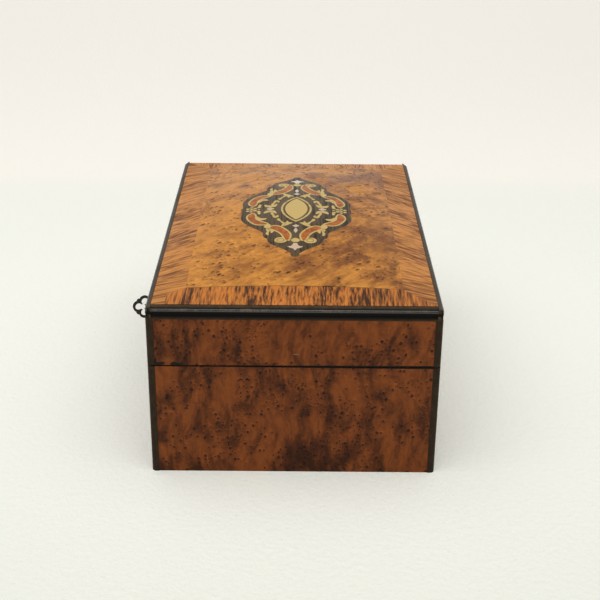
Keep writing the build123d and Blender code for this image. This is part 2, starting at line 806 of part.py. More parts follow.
def bow_plan():
    """Three ringed lobes round an open middle; the first lobe is the outer end."""
    lobes = [(0, 0), (lobe_stagger, lobe_spread), (lobe_stagger, -lobe_spread)]
    middle = (lobe_stagger * 2 / 3, 0)
    outer = [Pos(*spot) * Circle(lobe_radius) for spot in lobes]
    holes = [Pos(*spot) * Circle(lobe_hole) for spot in lobes]
    holes.append(Pos(*middle) * Circle(lobe_spread / 2))
    span = math.hypot(lobe_stagger, lobe_spread)
    rise = math.sqrt(lobe_radius ** 2 - (span / 2) ** 2) + bow_knob / 4
    knobs = []
    for side in (-1, 1):
        x = lobe_stagger / 2 - rise * lobe_spread / span
        y = side * (lobe_spread / 2 + rise * lobe_stagger / span)
        tilt = math.degrees(math.atan2(side * lobe_stagger, -lobe_spread))
        knobs.append(Pos(x, y) * Rot(0, 0, tilt) * Rectangle(bow_knob, bow_knob))
    neck = Pos(lobe_stagger + lobe_radius, 0) * Rectangle(lobe_radius, 1.4 * pipe_radius)
    return joined(outer + knobs + [neck]) - holes


def key():
    """The key at rest, turned so that its bit stands in the bolt's notch."""
    tip_y = back_plate_y - lock_play
    bow_y = -half_depth - key_reach + lobe_radius
    shank_y = bow_y + lobe_stagger + lobe_radius
    bow = extrude(bow_plan(), bow_thickness / 2, both=True)
    bow = Plane(origin=(0, bow_y, 0), x_dir=(0, 1, 0), z_dir=(1, 0, 0)) * bow
    shank = rod((0, shank_y, 0), (0, 1, 0), pipe_radius, tip_y - shank_y)
    whole = shank + bow
    for y in (shank_y + bow_thickness / 2, -half_depth - 1.5 * bow_thickness):
        whole += rod((0, y, 0), (0, 1, 0), collar_radius, bow_thickness / 2)
    bit_y = cover_inner_y + lock_play
    half = bit_thickness / 2
    whole += block(-half, half, bit_y, tip_y, 0, bit_reach)
    whole -= block(-half, half, tip_y - 2 * lock_play, tip_y, bit_reach - loop_bar, bit_reach)
    bore = case_space + cover_plate + 2 * drill_pin_proud
    whole -= rod((0, tip_y, 0), (0, -1, 0), drill_pin_radius + drill_pin_play, bore)
    return Pos(0, 0, key_height) * Rot(0, -half_turn, 0) * whole


def lock():
    """All of the lock, the key and their small plates."""
    parts["lock_case"] = lock_case()
    parts["lock_cover_plate"] = lock_cover()
    parts["lock_bolt"] = lock_bolt()
    parts["lock_spring"] = lock_spring()
    parts["lock_drill_pin"] = drill_pin()
    parts["escutcheon"] = escutcheon_seat() - keyhole(0, -veneer_y, escutcheon_depth - veneer_y)
    parts["key"] = key()
    parts["strike_plate"] = strike_plate()


def fasteners():
    """The screws, grouped by what they hold."""
    parts["body_hinge_screws"] = group(*screws(leaf_screws(-1), (0, 0, 1)))
    parts["lock_screws"] = group(*screws(selvedge_screws(), (0, 0, 1)),
                                 *screws(back_plate_screws(), (0, 1, 0)))
    parts["lid_hinge_screws"] = group(*screws(leaf_screws(1), (0, 0, -1)))
    parts["strike_screws"] = group(*screws(strike_screws(), (0, 0, -1)))


body_boards()
side_veneers("body", 0, body_height)
parts["body_corner_posts"] = group(*corner_posts(0, body_height))
linings()
lid_boards()
side_veneers("lid", lid_bottom, frame_top)
parts["lid_corner_posts"] = group(*corner_posts(lid_bottom, frame_top))
parts["lid_top_board"] = dome_panel()
lid_mouldings()
lid_bands()
cartouche()
hinges()
lock()
fasteners()

os.makedirs("parts", exist_ok=True)
for name, shape in parts.items():
    shape.label = name
    export_step(shape, "parts/%s.step" % name)
print(len(parts), "parts; bolt throw %.3f mm, %.4f mm per radian" % (bolt_throw, bolt_rate))
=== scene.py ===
"""Dresses the marquetry box: veneers, inlay, ebonised strips, brasswork, linings and studio."""

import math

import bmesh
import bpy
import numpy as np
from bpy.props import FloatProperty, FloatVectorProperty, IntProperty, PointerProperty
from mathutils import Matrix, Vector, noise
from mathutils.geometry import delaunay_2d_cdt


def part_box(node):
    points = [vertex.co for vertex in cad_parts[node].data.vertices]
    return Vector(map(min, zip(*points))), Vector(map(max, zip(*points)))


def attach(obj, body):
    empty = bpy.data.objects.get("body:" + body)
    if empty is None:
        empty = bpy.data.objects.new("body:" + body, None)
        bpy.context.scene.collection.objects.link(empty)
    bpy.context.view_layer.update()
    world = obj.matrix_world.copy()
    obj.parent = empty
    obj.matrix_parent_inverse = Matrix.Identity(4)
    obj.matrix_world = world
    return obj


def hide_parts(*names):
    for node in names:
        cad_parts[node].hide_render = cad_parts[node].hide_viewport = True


bl_info = {
    "name": "Marquetry box finish",
    "version": (1, 0, 0),
    "blender": (4, 5, 0),
    "location": "3D View > Sidebar > Box",
    "description": "Veneers, inlay, mouldings, brasswork, linings and studio of a domed marquetry box",
    "category": "Object",
}

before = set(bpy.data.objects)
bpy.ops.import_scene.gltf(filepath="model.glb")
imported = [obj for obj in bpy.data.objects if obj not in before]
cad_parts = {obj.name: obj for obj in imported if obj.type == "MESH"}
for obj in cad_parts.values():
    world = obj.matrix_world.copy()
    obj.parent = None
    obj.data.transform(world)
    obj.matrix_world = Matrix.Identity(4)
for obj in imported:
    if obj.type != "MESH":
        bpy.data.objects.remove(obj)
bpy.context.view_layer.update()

MM = 0.001
SIDES = {"front": (0, -1), "back": (0, 1), "left": (-1, 0), "right": (1, 0)}
# Near-black for dark joints, fills and marks, and for the painted shade in the seam gap.
SOOT_AND_SHADE = (0.012, 0.008, 0.006)


def linear(*tone):
    """A colour as the eye reads it, 0 to 255, as the shaders' linear values."""
    return tuple((t / 255 / 12.92) if t < 10 else ((t / 255 + 0.055) / 1.055) ** 2.4 for t in tone)


def hue(name, note, *tone):
    """A colour that the user can change."""
    return FloatVectorProperty(name=name, description=note, subtype="COLOR", size=3, min=0, max=1,
                               default=linear(*tone))


def size(name, note, value, unit="NONE"):
    """A length in millimetres, or another number in its own unit, that the user can change."""
    return FloatProperty(name=name, description=note, default=value, min=0, unit=unit)


class BoxWoods(bpy.types.PropertyGroup):
    """Colours of the woods."""
    top_pale: hue("Lid burl, pale", "Light figure of the burl on the lid", 209, 141, 62)
    top_deep: hue("Lid burl, deep", "Cloudy patches of the burl on the lid", 132, 80, 40)
    side_pale: hue("Side burl, pale", "Light figure of the burl on the walls", 123, 65, 28)
    side_deep: hue("Side burl, deep", "Dark figure of the burl on the walls", 55, 27, 13)
    eye: hue("Burl eyes", "The small dark knots of the walls", 34, 19, 12)
    top_eye: hue("Lid burl, flecks", "The small dark flecks of the lid", 66, 36, 22)
    end_pale: hue("End crossband, pale", "Ground of the crossbands at the ends", 200, 123, 55)
    end_stripe: hue("End crossband, stripe", "Dark streaks of the crossbands at the ends", 70, 43, 30)
    side_band_pale: hue("Side crossband, pale", "Ground of the crossbands at the sides", 206, 138, 68)
    side_band_stripe: hue("Side crossband, stripe", "Streaks of the crossbands at the sides", 116, 70, 43)
    ebonised: hue("Ebonised wood", "Black stained strips", 14, 11, 9)
    # This colour also paints a reflection of the floor on the beads' feet and glints along the arrises.
    rubbed: hue("Rubbed strips", "Brown wood where the black is worn", 82, 66, 49)
    ground: hue("Inlay ground", "Dark wood that holds the inlay", 95, 77, 54)
    orange: hue("Inlay wood", "Orange wood of the scrolls", 198, 112, 42)
    carcass: hue("Carcass", "Plain wood of the boards", 150, 104, 62)


class BoxMetals(bpy.types.PropertyGroup):
    """Colours of metal, pearl and silk."""
    brass: hue("Brass inlay", "Polished brass line and plaque", 236, 205, 128)
    tarnish: hue("Tarnish", "Brown bloom on brass", 128, 92, 44)
    pearl: hue("Pearl", "Mother-of-pearl", 212, 188, 160)
    iron: hue("Key and lock iron", "Browned iron", 30, 19, 11)
    silk: hue("Silk", "Covering of the linings", 122, 28, 34)


class BoxSizes(bpy.types.PropertyGroup):
    """Sizes of the details that the frame does not give, in millimetres."""
    joint: size("Joint", "Width of the glued joint that shows round each inlay", 0.10)
    joint_depth: size("Joint depth", "How far the joint's edges are rounded down", 0.035)
    grid: size("Grid", "Spacing of the lid's surface points", 4.5)
    edge: size("Edge", "Softened edge of metal fittings", 0.14)
    strip_edge: size("Strip edge", "Softened arris of the ebonised strips", 0.3)
    strip_steps: IntProperty(name="Strip steps", description="Faces round each arris of a strip",
                             default=6, min=2)
    slope: size("Slope", "How far the top of a moulding falls outwards", 2.1)
    nose: size("Nose", "Rounding of a moulding's outer arris", 0.9)
    bead: size("Bead", "Height of the flat strip under a moulding's nose", 3.1)
    set_back: size("Set back", "How far that flat strip stands behind the nose", 0.3)
    corner: size("Corner", "Rounding of the box's upright corners in plan", 2.6)


class BoxStudio(bpy.types.PropertyGroup):
    """Floor, lamp and camera."""
    floor: hue("Floor", "White board under the box", 236, 238, 231)
    backdrop: hue("Backdrop", "Cream cloth behind the box", 243, 240, 234)
    key_power: size("Overhead lamp", "Power in watts", 14.7, "POWER")
    fill: size("Fill", "Strength of the room's light", 0.7)
    lens: size("Lens", "Focal length in millimetres", 70.73, "CAMERA")


# Node building


class Wire:
    """One output of a node. Arithmetic on it adds Math nodes to its tree."""

    def __init__(self, socket):
        self.socket = socket
        self.tree = socket.id_data

    def __add__(self, other):
        return calc("ADD", self, other)

    def __sub__(self, other):
        return calc("SUBTRACT", self, other)

    def __rsub__(self, other):
        return calc("SUBTRACT", other, self)

    def __mul__(self, other):
        return calc("MULTIPLY", self, other)

    def __truediv__(self, other):
        return calc("DIVIDE", self, other)

    def __rtruediv__(self, other):
        return calc("DIVIDE", other, self)

    def __lt__(self, other):
        return calc("LESS_THAN", self, other)

    def __gt__(self, other):
        return calc("GREATER_THAN", self, other)

    __radd__ = __add__


class Placed:
    """A node in a tree, whose outputs are wires found by name or number."""

    def __init__(self, node):
        self.node = node

    def __getitem__(self, name):
        return Wire(self.node.outputs[name])


def feed(socket, value):
    """Links a wire to an input, or gives the input a value."""
    if isinstance(value, Wire):
        value.tree.links.new(value.socket, socket)
    elif socket.type == "RGBA" and len(value) == 3:
        socket.default_value = (*value, 1.0)
    else:
        socket.default_value = value


def put(tree, kind, sockets=None, **settings):
    """Adds a node, sets its options, then fills or links its inputs."""
    made = tree.nodes.new(kind)
    for name, value in settings.items():
        setattr(made, name, value)
    for name, value in (sockets or {}).items():
        feed(made.inputs[name], value)
    return Placed(made)


def tree_of(*values):
    """The tree of the first wire among some values."""
    return next(value.tree for value in values if isinstance(value, Wire))


def calc(operation, *values):
    """One step of arithmetic."""
    return put(tree_of(*values), "ShaderNodeMath", dict(enumerate(values)), operation=operation)[0]


def most(values):
    """The largest of several values."""
    top = values[0]
    for value in values[1:]:
        top = calc("MAXIMUM", top, value)
    return top


def fade(value, low, high, start=0.0, end=1.0, kind="SMOOTHSTEP"):
    """A soft step of value between low and high."""
    return put(value.tree, "ShaderNodeMapRange", {0: value, 1: low, 2: high, 3: start, 4: end},
               interpolation_type=kind)[0]


def tint(factor, first, second, mode="MIX"):
    """Two colours mixed."""
    return put(tree_of(factor, first, second), "ShaderNodeMix", {0: factor, 6: first, 7: second},
               data_type="RGBA", blend_type=mode)[2]


def arrow(operation, *values, out=0, **named):
    """One step of vector arithmetic."""
    return put(tree_of(*values), "ShaderNodeVectorMath", {**dict(enumerate(values)), **named},
               operation=operation)[out]


def joined(*parts):
    """A vector of three parts, of which one or more are wires."""
    return put(tree_of(*parts), "ShaderNodeCombineXYZ", dict(enumerate(parts)))[0]


def parted(vector):
    """The three parts of a vector."""
    made = put(vector.tree, "ShaderNodeSeparateXYZ", {0: vector})
    return made[0], made[1], made[2]


def stretch(vector, *scale):
    """A vector scaled along its three axes."""
    return arrow("MULTIPLY", vector, scale)


def swayed(colour, amount):
    """A colour noise as a push to every side."""
    return arrow("SCALE", arrow("SUBTRACT", colour, (0.5, 0.5, 0.5)), Scale=amount)


def push(vector, colour, amount):
    """A vector pushed about by a colour noise."""
    return arrow("ADD", vector, swayed(colour, amount))


def mapped(vector, **named):
    """A vector moved and turned."""
    return put(vector.tree, "ShaderNodeMapping", {"Vector": vector, **named})[0]


def cloud(vector, scale, detail=2.0, rough=0.5, colour=False, distortion=0.0):
    """A noise; scale is in features per metre."""
    return put(vector.tree, "ShaderNodeTexNoise", {
        "Vector": vector, "Scale": scale, "Detail": detail, "Roughness": rough,
        "Distortion": distortion})["Color" if colour else "Fac"]


def held(tree, name):
    """A value that the mesh holds at each of its points."""
    return put(tree, "ShaderNodeAttribute", attribute_name=name)["Fac"]


def group(name, inputs, outputs, kind="ShaderNodeTree"):
    """An empty node group; an input is a name, a kind and perhaps a value, an output a name and a kind."""
    tree = bpy.data.node_groups.new(name, kind)
    for label, form, value in inputs:
        socket = tree.interface.new_socket(name=label, in_out="INPUT", socket_type="NodeSocket" + form)
        if value is not None:
            socket.default_value = value
    for label, form in outputs:
        tree.interface.new_socket(name=label, in_out="OUTPUT", socket_type="NodeSocket" + form)
    return tree, put(tree, "NodeGroupInput"), put(tree, "NodeGroupOutput").node.inputs


def shared(maker):
    """The node group that a function makes, made the first time that it is asked for."""
    name = maker.__name__.replace("_", " ")
    return bpy.data.node_groups.get(name) or maker(name)


def use(maker, **sockets):
    """Places a shared shader group in the material of its Vector."""
    made = put(sockets["Vector"].tree, "ShaderNodeGroup", node_tree=shared(maker))
    for label, value in sockets.items():
        feed(made.node.inputs[label.replace("_", " ")], value)
    return made


# Effects that several materials share


FIGURE = [("Color", "Color"), ("Roughness", "Float"), ("Height", "Float")]


def burl_eyes(place, given, crowd, pitch, share):
    """One size of eyes: masks of their dark cores, soft halos, pale crescents painted as highlights on one
    side, and faint rings.
    """
    seat = arrow("MULTIPLY", place, joined(1.0, 1.0, 1.0 / given["Eye length"]))
    seat = push(seat, cloud(place, 760, 1, colour=True), 0.0011)
    cells = put(place.tree, "ShaderNodeTexVoronoi",
                {"Vector": seat, "Scale": given["Eyes per metre"] * pitch})
    pick = put(place.tree, "ShaderNodeSeparateColor", {0: cells["Color"]})
    there = pick[0] < crowd * given["Crowding"] * (1.5 * share)
    near = cells["Distance"] / (given["Eye size"] * (pick[1] * 0.5 + 0.75))
    away = arrow("NORMALIZE", arrow("SUBTRACT", seat, cells["Position"]))
    above = fade(parted(away)[2], 0.0, 0.7)
    core = there * (0.65 + pick[2] * 0.35) * fade(near, 0.6, 1.1, 1.0, 0.0)
    halo = there * fade(near, 0.9, 2.6, 1.0, 0.0)
    # Painted highlight: a pale crescent on the upper side of each eye.
    highlight_crescent = fade(near, 1.0, 1.3) * halo * above
    return core, halo, highlight_crescent, calc("SINE", near * 5.5) * halo


def burl_figure(name):
    """Burl: clouds and ripples that flow along Z, darker where small dark eyes cluster, and fine fibres."""
    tree, given, result = group(name, [
        ("Vector", "Vector", None), ("Pale", "Color", None), ("Deep", "Color", None),
        ("Eye", "Color", None), ("Eyes per metre", "Float", 215.0), ("Eye size", "Float", 0.2),
        ("Eye length", "Float", 1.0), ("Crowding", "Float", 0.5), ("Cloud", "Float", 0.5),
        ("Flow", "Float", 1.0)], FIGURE)
    place = given["Vector"]
    flow = arrow("MULTIPLY", place, joined(1.0, 1.0, given["Flow"]))
    drift = push(flow, cloud(place, 16, 2, colour=True), 0.03)
    curl = push(drift, cloud(place, 95, 2, colour=True), 0.006)
    crowd = fade(cloud(place, 42, 1), 0.36, 0.64)
    broad = cloud(stretch(drift, 1, 1, 0.5), 30, 3, 0.55)
    ripple = cloud(stretch(curl, 1, 1, 0.36), 130, 3, 0.65)
    fibre = cloud(stretch(curl, 1, 1, 0.16), 520, 4, 0.62)
    mottle = cloud(curl, 430, 3, 0.6)
    figure = broad * 0.32 + ripple * 0.6 + crowd * 0.08
    base = tint(fade(figure + given["Cloud"], 0.86, 1.16), given["Pale"], given["Deep"])
    light = fade(fibre, 0.3, 0.7, 0.84, 1.12, "LINEAR") + fade(mottle, 0.3, 0.7, 0.1, -0.1, "LINEAR")
    sizes = [burl_eyes(place, given, crowd, pitch, share) for pitch, share in ((1.0, 1.0), (1.6, 0.35))]
    core, halo, highlight_crescent, ring = (most(masks) for masks in zip(*sizes))
    base = tint(1.0, base, light + ring * 0.1 + highlight_crescent * 0.5, "MULTIPLY")
    base = tint(halo * 0.22, base, given["Eye"])
    feed(result["Color"], tint(core * 0.92, base, given["Eye"]))
    feed(result["Roughness"], 0.3 + core * 0.25)
    feed(result["Height"], fibre * 0.25 - core)
    return tree


def straight_grain(name):
    """Straight grain along X: fine dark streaks, closer together in bunches, and short pores."""
    tree, given, result = group(name, [
        ("Vector", "Vector", None), ("Pale", "Color", None), ("Stripe", "Color", None),
        ("Stripes", "Float", 0.5), ("Coarseness", "Float", 1.0)], FIGURE)
    place = given["Vector"]
    wander = push(place, cloud(stretch(place, 0.5, 1, 1), 42, 2, colour=True), 0.0016)
    wander = arrow("SCALE", wander, Scale=given["Coarseness"])
    bunch = fade(cloud(stretch(wander, 0.1, 1, 1), 75, 2), 0.34, 0.64)
    streaks = cloud(stretch(wander, 0.035, 1, 1), 900, 3, 0.6)
    bands = cloud(stretch(wander, 0.03, 1, 1), 330, 2)
    fine = cloud(stretch(wander, 0.05, 1, 1), 1900, 2)
    mask = fade(streaks * 0.7 + bands * 0.25 + bunch * 0.09 + given["Stripes"] * 0.2, 0.52, 0.76)
    light = fade(fine, 0.25, 0.75, 0.84, 1.16, "LINEAR")
    feed(result["Color"], tint(1.0, tint(mask, given["Pale"], given["Stripe"]), light, "MULTIPLY"))
    feed(result["Roughness"], 0.3 + mask * 0.15)
    feed(result["Height"], fine * 0.3 - mask)
    return tree


def handled_surface(name):
    """Years of handling: faint smears and fine scratches that change the gloss."""
    tree, given, result = group(name, [("Vector", "Vector", None), ("Amount", "Float", 1.0)],
                                [("Gloss loss", "Float"), ("Scratch", "Float")])
    place = given["Vector"]
    smear = fade(cloud(place, 38, 4, 0.6), 0.42, 0.75, 0.0, 0.13)
    lines = cloud(stretch(mapped(place, Rotation=(0.4, 0.3, 0.7)), 0.03, 1, 1), 1800, 1)
    scratch = fade(lines, 0.70, 0.76) * fade(cloud(place, 60, 1), 0.5, 0.62)
    feed(result["Gloss loss"], (smear + scratch * 0.2) * given["Amount"])
    feed(result["Scratch"], scratch * given["Amount"])
    return tree


def worn_edge(name):
    """Where an arris is rubbed: the piece's own edge value, broken up by noise."""
    tree, given, result = group(name, [("Vector", "Vector", None), ("Amount", "Float", 0.5)],
                                [("Mask", "Float")])
    place = given["Vector"]
    broken = cloud(place, 330, 4, 0.65) + cloud(place, 30, 2) * 0.5
    level = 1.05 - given["Amount"] * 0.5
    feed(result["Mask"], fade(held(tree, "edge") * broken, level - 0.35, level))
    return tree


# Materials, one for each finish


def material(name):
    """An empty material and its object coordinates, in metres."""
    made = bpy.data.materials.new(name)
    made.use_nodes = True
    made.node_tree.nodes.clear()
    return made, put(made.node_tree, "ShaderNodeTexCoord")["Object"]


def surface(made, colour, roughness, height=None, depth=0.05, **others):
    """Ends a material with its shader and its bump; depth is in millimetres."""
    tree = made.node_tree
    values = {"Base Color": colour, "Roughness": roughness}
    values.update((label.replace("_", " "), value) for label, value in others.items())
    if height is not None:
        bump = {"Height": height, "Distance": depth * MM, "Strength": 1.0}
        values["Normal"] = put(tree, "ShaderNodeBump", bump)[0]
    shader = put(tree, "ShaderNodeBsdfPrincipled", values)
    put(tree, "ShaderNodeOutputMaterial", {"Surface": shader[0]})
    return made


def jointed(colour, strength=0.92, dark=SOOT_AND_SHADE):
    """Darkens the glued joint round a sawn piece."""
    return tint(fade(held(colour.tree, "joint"), 0.2, 0.9) * strength, colour, dark)


def handled(place):
    """The loss of gloss where a surface has been handled."""
    return use(handled_surface, Vector=place, Amount=1.0)["Gloss loss"]


def spot(place, middle, reach):
    """A soft-edged mark: 1 inside an ellipsoid of the given reach, in millimetres."""
    away = arrow("SUBTRACT", place, tuple(MM * m for m in middle))
    away = stretch(away, *(1 / (MM * r) for r in reach))
    return fade(arrow("LENGTH", away, out="Value"), 0.75, 1.1, 1.0, 0.0)


# Marks at the near end: across, height over the seam, half width and half height, in millimetres
FILLS = [(-80.3, 1.3, 3.6, 1.5), (-70.0, 1.2, 4.2, 1.2), (-82.6, 2.6, 1.3, 2.6)]
SCRATCH = (1.0, 8.2, 2.1, 0.22)
# The chip in the burl's near edge, and the ring engraved on each volute, in millimetres
CHIP_ACROSS = 20
CHIP_FOOT = 112
CHIP_REACH = (0.9, 5.5, 9)
CURL_RADII = (2.7, 2.0)
CURL_DEPTH = 20


def side_burl_finish(woods):
    """Dark burl of the walls, with a painted shadow along the seam gap, old fills and a scratch at the near
    end.
    """
    made, place = material("side_burl")
    burl = use(burl_figure, Vector=mapped(place, Location=(0.3, 0.212, 0.1)), Pale=woods.side_pale,
               Deep=woods.side_deep, Eye=woods.eye, Eyes_per_metre=265.0, Eye_size=0.235,
               Eye_length=1.15, Crowding=1.6, Cloud=0.5)
    _, y, z = parted(place)
    seam = (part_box("body_right_veneer")[1].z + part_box("lid_right_veneer")[0].z) / 2
    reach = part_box("body_corner_posts")[1]
    # Painted shade: a dark line in the seam gap between case and lid, wider towards the hinges.
    wide = fade(y, -reach.y, reach.y, 0.5 * MM, 1.15 * MM)
    seam_shadow = calc("ABSOLUTE", z - seam) + cloud(place, 420, 2) * (0.3 * MM) < wide + 0.1 * MM
    ragged = push(place, cloud(place, 330, 2, colour=True), 0.0022)
    near, foot = reach.x / MM, seam / MM
    fills = [spot(ragged, (near, across, foot + up), (4, half_wide, half_high))
             for across, up, half_wide, half_high in FILLS]
    # A ragged dark band along the walls' lowest millimetre.
    dark_foot = z - fade(cloud(place, 150, 2), 0.56, 0.66) * (1.1 * MM) < 0.0
    base = tint(most([seam_shadow, dark_foot, *fills]), burl["Color"], SOOT_AND_SHADE)
    across, up, half_wide, half_high = SCRATCH
    scratch = spot(place, (near, across, foot + up), (3, half_wide, half_high))
    base = tint(scratch * 0.5, base, (0.33, 0.22, 0.14))
    rough = burl["Roughness"] + handled(place) + 0.05
    return surface(made, base, rough, burl["Height"], 0.05, Specular_IOR_Level=0.12)


def top_burl_finish(woods):
    """Golden burl of the lid: flecks and ripples slant across it, browner towards the hinges."""
    made, place = material("top_burl")
    turned = mapped(place, Rotation=(0, 0, math.radians(-135)))
    turned = mapped(turned, Rotation=(0, math.radians(-90), 0), Location=(0.05, 0.12, 0.2))
    x, y, _ = parted(place)
    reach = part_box("lid_burl_field")[1]
    burl = use(burl_figure, Vector=turned, Pale=woods.top_pale, Deep=woods.top_deep,
               Eye=woods.top_eye, Eyes_per_metre=235.0, Eye_size=0.225, Eye_length=1.8, Crowding=1.6,
               Cloud=fade(y, -reach.y, reach.y, 0.44, 0.54), Flow=1.4)
    inner = calc("ABSOLUTE", y) < reach.y - 1.5 * MM
    chip = spot(place, (reach.x / MM, CHIP_ACROSS, 0.5 * (reach.z / MM + CHIP_FOOT)), CHIP_REACH)
    line = fade(x, reach.x - 0.8 * MM, reach.x - 0.4 * MM) * 0.6
    base = tint(most([chip, line]), jointed(burl["Color"], inner * 0.5 + 0.4), SOOT_AND_SHADE)
    return surface(made, base, burl["Roughness"] + handled(place), burl["Height"], 0.04,
                   Specular_IOR_Level=0.2)


def crossband_finish(name, turn, stripes, coarseness, pale, stripe, strength):
    """Crossbanding; turn brings the grain's direction to X, and strength is its joints' darkness."""
    made, place = material(name)
    grain = use(straight_grain, Vector=mapped(place, Rotation=(0, 0, turn)), Pale=pale, Stripe=stripe,
                Stripes=stripes, Coarseness=coarseness)
    return surface(made, jointed(grain["Color"], strength), grain["Roughness"] + handled(place),
                   grain["Height"], 0.04, Specular_IOR_Level=0.16)


def ebonised_finish(woods):
    """Black stained wood, browner where it is rubbed or dull, with brown rubbed specks along its arris that
    also stand in as painted glints on small dents.
    """
    made, place = material("ebonised")
    rub = use(worn_edge, Vector=place, Amount=0.1)["Mask"]
    dull, ridge = (held(place.tree, name) for name in ("dull", "edge"))
    grain = cloud(place, 260, 3)
    brown = dull * fade(dull, 0.15, 0.5) * fade(grain, 0.3, 0.75, 0.65, 1.0)
    # The rubbed specks on the arris are wear, and also a painted glint of light on small dents.
    base = tint(rub, tint(brown, woods.ebonised, woods.rubbed), woods.rubbed)
    rough = handled(place) + 0.2 + (rub + dull) * 0.2
    shine = fade(ridge, 0.6, 0.95) * (dull < 0.1) + 0.07
    return surface(made, base, rough, grain * 0.6, 0.05, Specular_IOR_Level=shine)


def inlay_ground_finish(woods):
    """The dark wood that the inlay lies in."""
    made, place = material("inlay_ground")
    grain = use(straight_grain, Vector=place, Pale=woods.ground, Stripe=(0.022, 0.014, 0.009),
                Stripes=0.4, Coarseness=1.6)
    return surface(made, jointed(grain["Color"]), grain["Roughness"], grain["Height"], 0.03,
                   Specular_IOR_Level=0.2)


def orange_finish(woods):
    """The orange wood of the scrolls, a fine burl."""
    made, place = material("orange_inlay_wood")
    burl = use(burl_figure, Vector=stretch(place, 2.2, 2.2, 2.2), Pale=woods.orange,
               Deep=(0.25, 0.07, 0.02), Eye=(0.1, 0.035, 0.015), Eyes_per_metre=200.0, Eye_size=0.2,
               Crowding=0.5, Cloud=0.5)
    return surface(made, jointed(burl["Color"], 0.92, (0.04, 0.018, 0.008)), burl["Roughness"],
                   burl["Height"], 0.02, Specular_IOR_Level=0.2)


def brass_finish(metals, name, tarnish, rough, engraved=()):
    """Brass; tarnish is the share of brown bloom, and engraved gives the middles of small rings."""
    made, place = material(name)
    bloom = fade(cloud(place, 190, 4, 0.65), 0.62 - 0.3 * tarnish, 0.9 - 0.2 * tarnish)
    wear = use(handled_surface, Vector=stretch(place, 2, 2, 2), Amount=1.0)
    base = tint(bloom, metals.brass, metals.tarnish)
    for middle in engraved:
        outer, inner = (spot(place, middle, (radius, radius, CURL_DEPTH)) for radius in CURL_RADII)
        base = tint((outer - inner) * 0.75, base, metals.tarnish)
    return surface(made, jointed(base), wear["Gloss loss"] + rough + bloom * 0.2, wear["Scratch"], 0.01,
                   Metallic=0.5)


def pearl_finish(metals):
    """Mother-of-pearl: green, cream and rosy clouds under a thin polish."""
    made, place = material("pearl")
    lustre = cloud(stretch(place, 1, 1, 0.5), 150, 3, 0.6, distortion=1.5)
    ramp = put(place.tree, "ShaderNodeValToRGB", {0: lustre})
    stops = ramp.node.color_ramp.elements
    tones = (linear(168, 192, 178), metals.pearl, linear(214, 180, 150), linear(214, 222, 214))
    for index, tone in enumerate(tones):
        position = 0.3 + index * 0.14
        stop = stops[index] if index < 2 else stops.new(position)
        stop.position = position
        stop.color = (*tone, 1)
    return surface(made, jointed(ramp[0]), 0.2, lustre, 0.02, Coat_Weight=0.5, Coat_Roughness=0.08)


def carcass_finish(woods):
    """The plain wood of the boards."""
    made, place = material("carcass_wood")
    grain = use(straight_grain, Vector=place, Pale=woods.carcass,
                Stripe=[0.45 * tone for tone in woods.carcass], Stripes=0.2, Coarseness=0.6)
    return surface(made, grain["Color"], grain["Roughness"] + 0.2, grain["Height"], 0.06)


def silk_finish(metals):
    """Watered silk."""
    made, place = material("silk")
    weave = cloud(stretch(place, 1, 1, 0.2), 3200, 1)
    water = cloud(stretch(place, 0.25, 1, 1), 90, 3, 0.6, distortion=1.2)
    base = tint(fade(water, 0.35, 0.7), metals.silk, [0.5 * tone for tone in metals.silk])
    return surface(made, base, 0.55, weave, 0.05, Sheen_Weight=0.5, Sheen_Roughness=0.4)


def iron_finish(metals):
    """Browned iron, a little brighter on its edges."""
    made, place = material("browned_iron")
    rust = fade(cloud(place, 420, 4, 0.65), 0.35, 0.7)
    rub = use(worn_edge, Vector=place, Amount=0.8)["Mask"]
    base = tint(rust, metals.iron, [0.45 * tone for tone in metals.iron])
    base = tint(rub * 0.08, base, (0.33, 0.28, 0.22))
    return surface(made, base, 0.34 + rust * 0.25, rust, 0.05, Metallic=0.3, Specular_IOR_Level=0.2)


def floor_finish(studio):
    """White board that turns to cream cloth behind the box; the eye sees it a little brighter, and close
    round the box a painted glow lightens the box's shadow.
    """
    made, place = material("studio_floor")
    x = parted(place)[0]
    far = arrow("LENGTH", place, out="Value")
    base = tint(fade(x, -0.36, -0.46), studio.floor, studio.backdrop)
    pits = cloud(place, 260, 5, 0.65)
    base = tint(fade(pits, 0.52, 0.75, 0.0, 0.07), base, (0.6, 0.59, 0.53))
    glow = fade(x, 0.45, -0.2, 0.04, 0.18) + fade(x, -0.6, -1.8, 0.0, 0.1)
    # The last term is painted light: a camera-only glow close round the box that lightens its shadow on the
    # floor.
    glow = glow + fade(far, 1.6, 4.5, 0.0, 0.6) + fade(far, 0.14, 0.4, 0.05, 0.0)
    seen = put(place.tree, "ShaderNodeLightPath")["Is Camera Ray"]
    return surface(made, base, 0.75, pits, 0.8, Emission_Color=base, Emission_Strength=seen * glow)


# Curves in plan, in millimetres


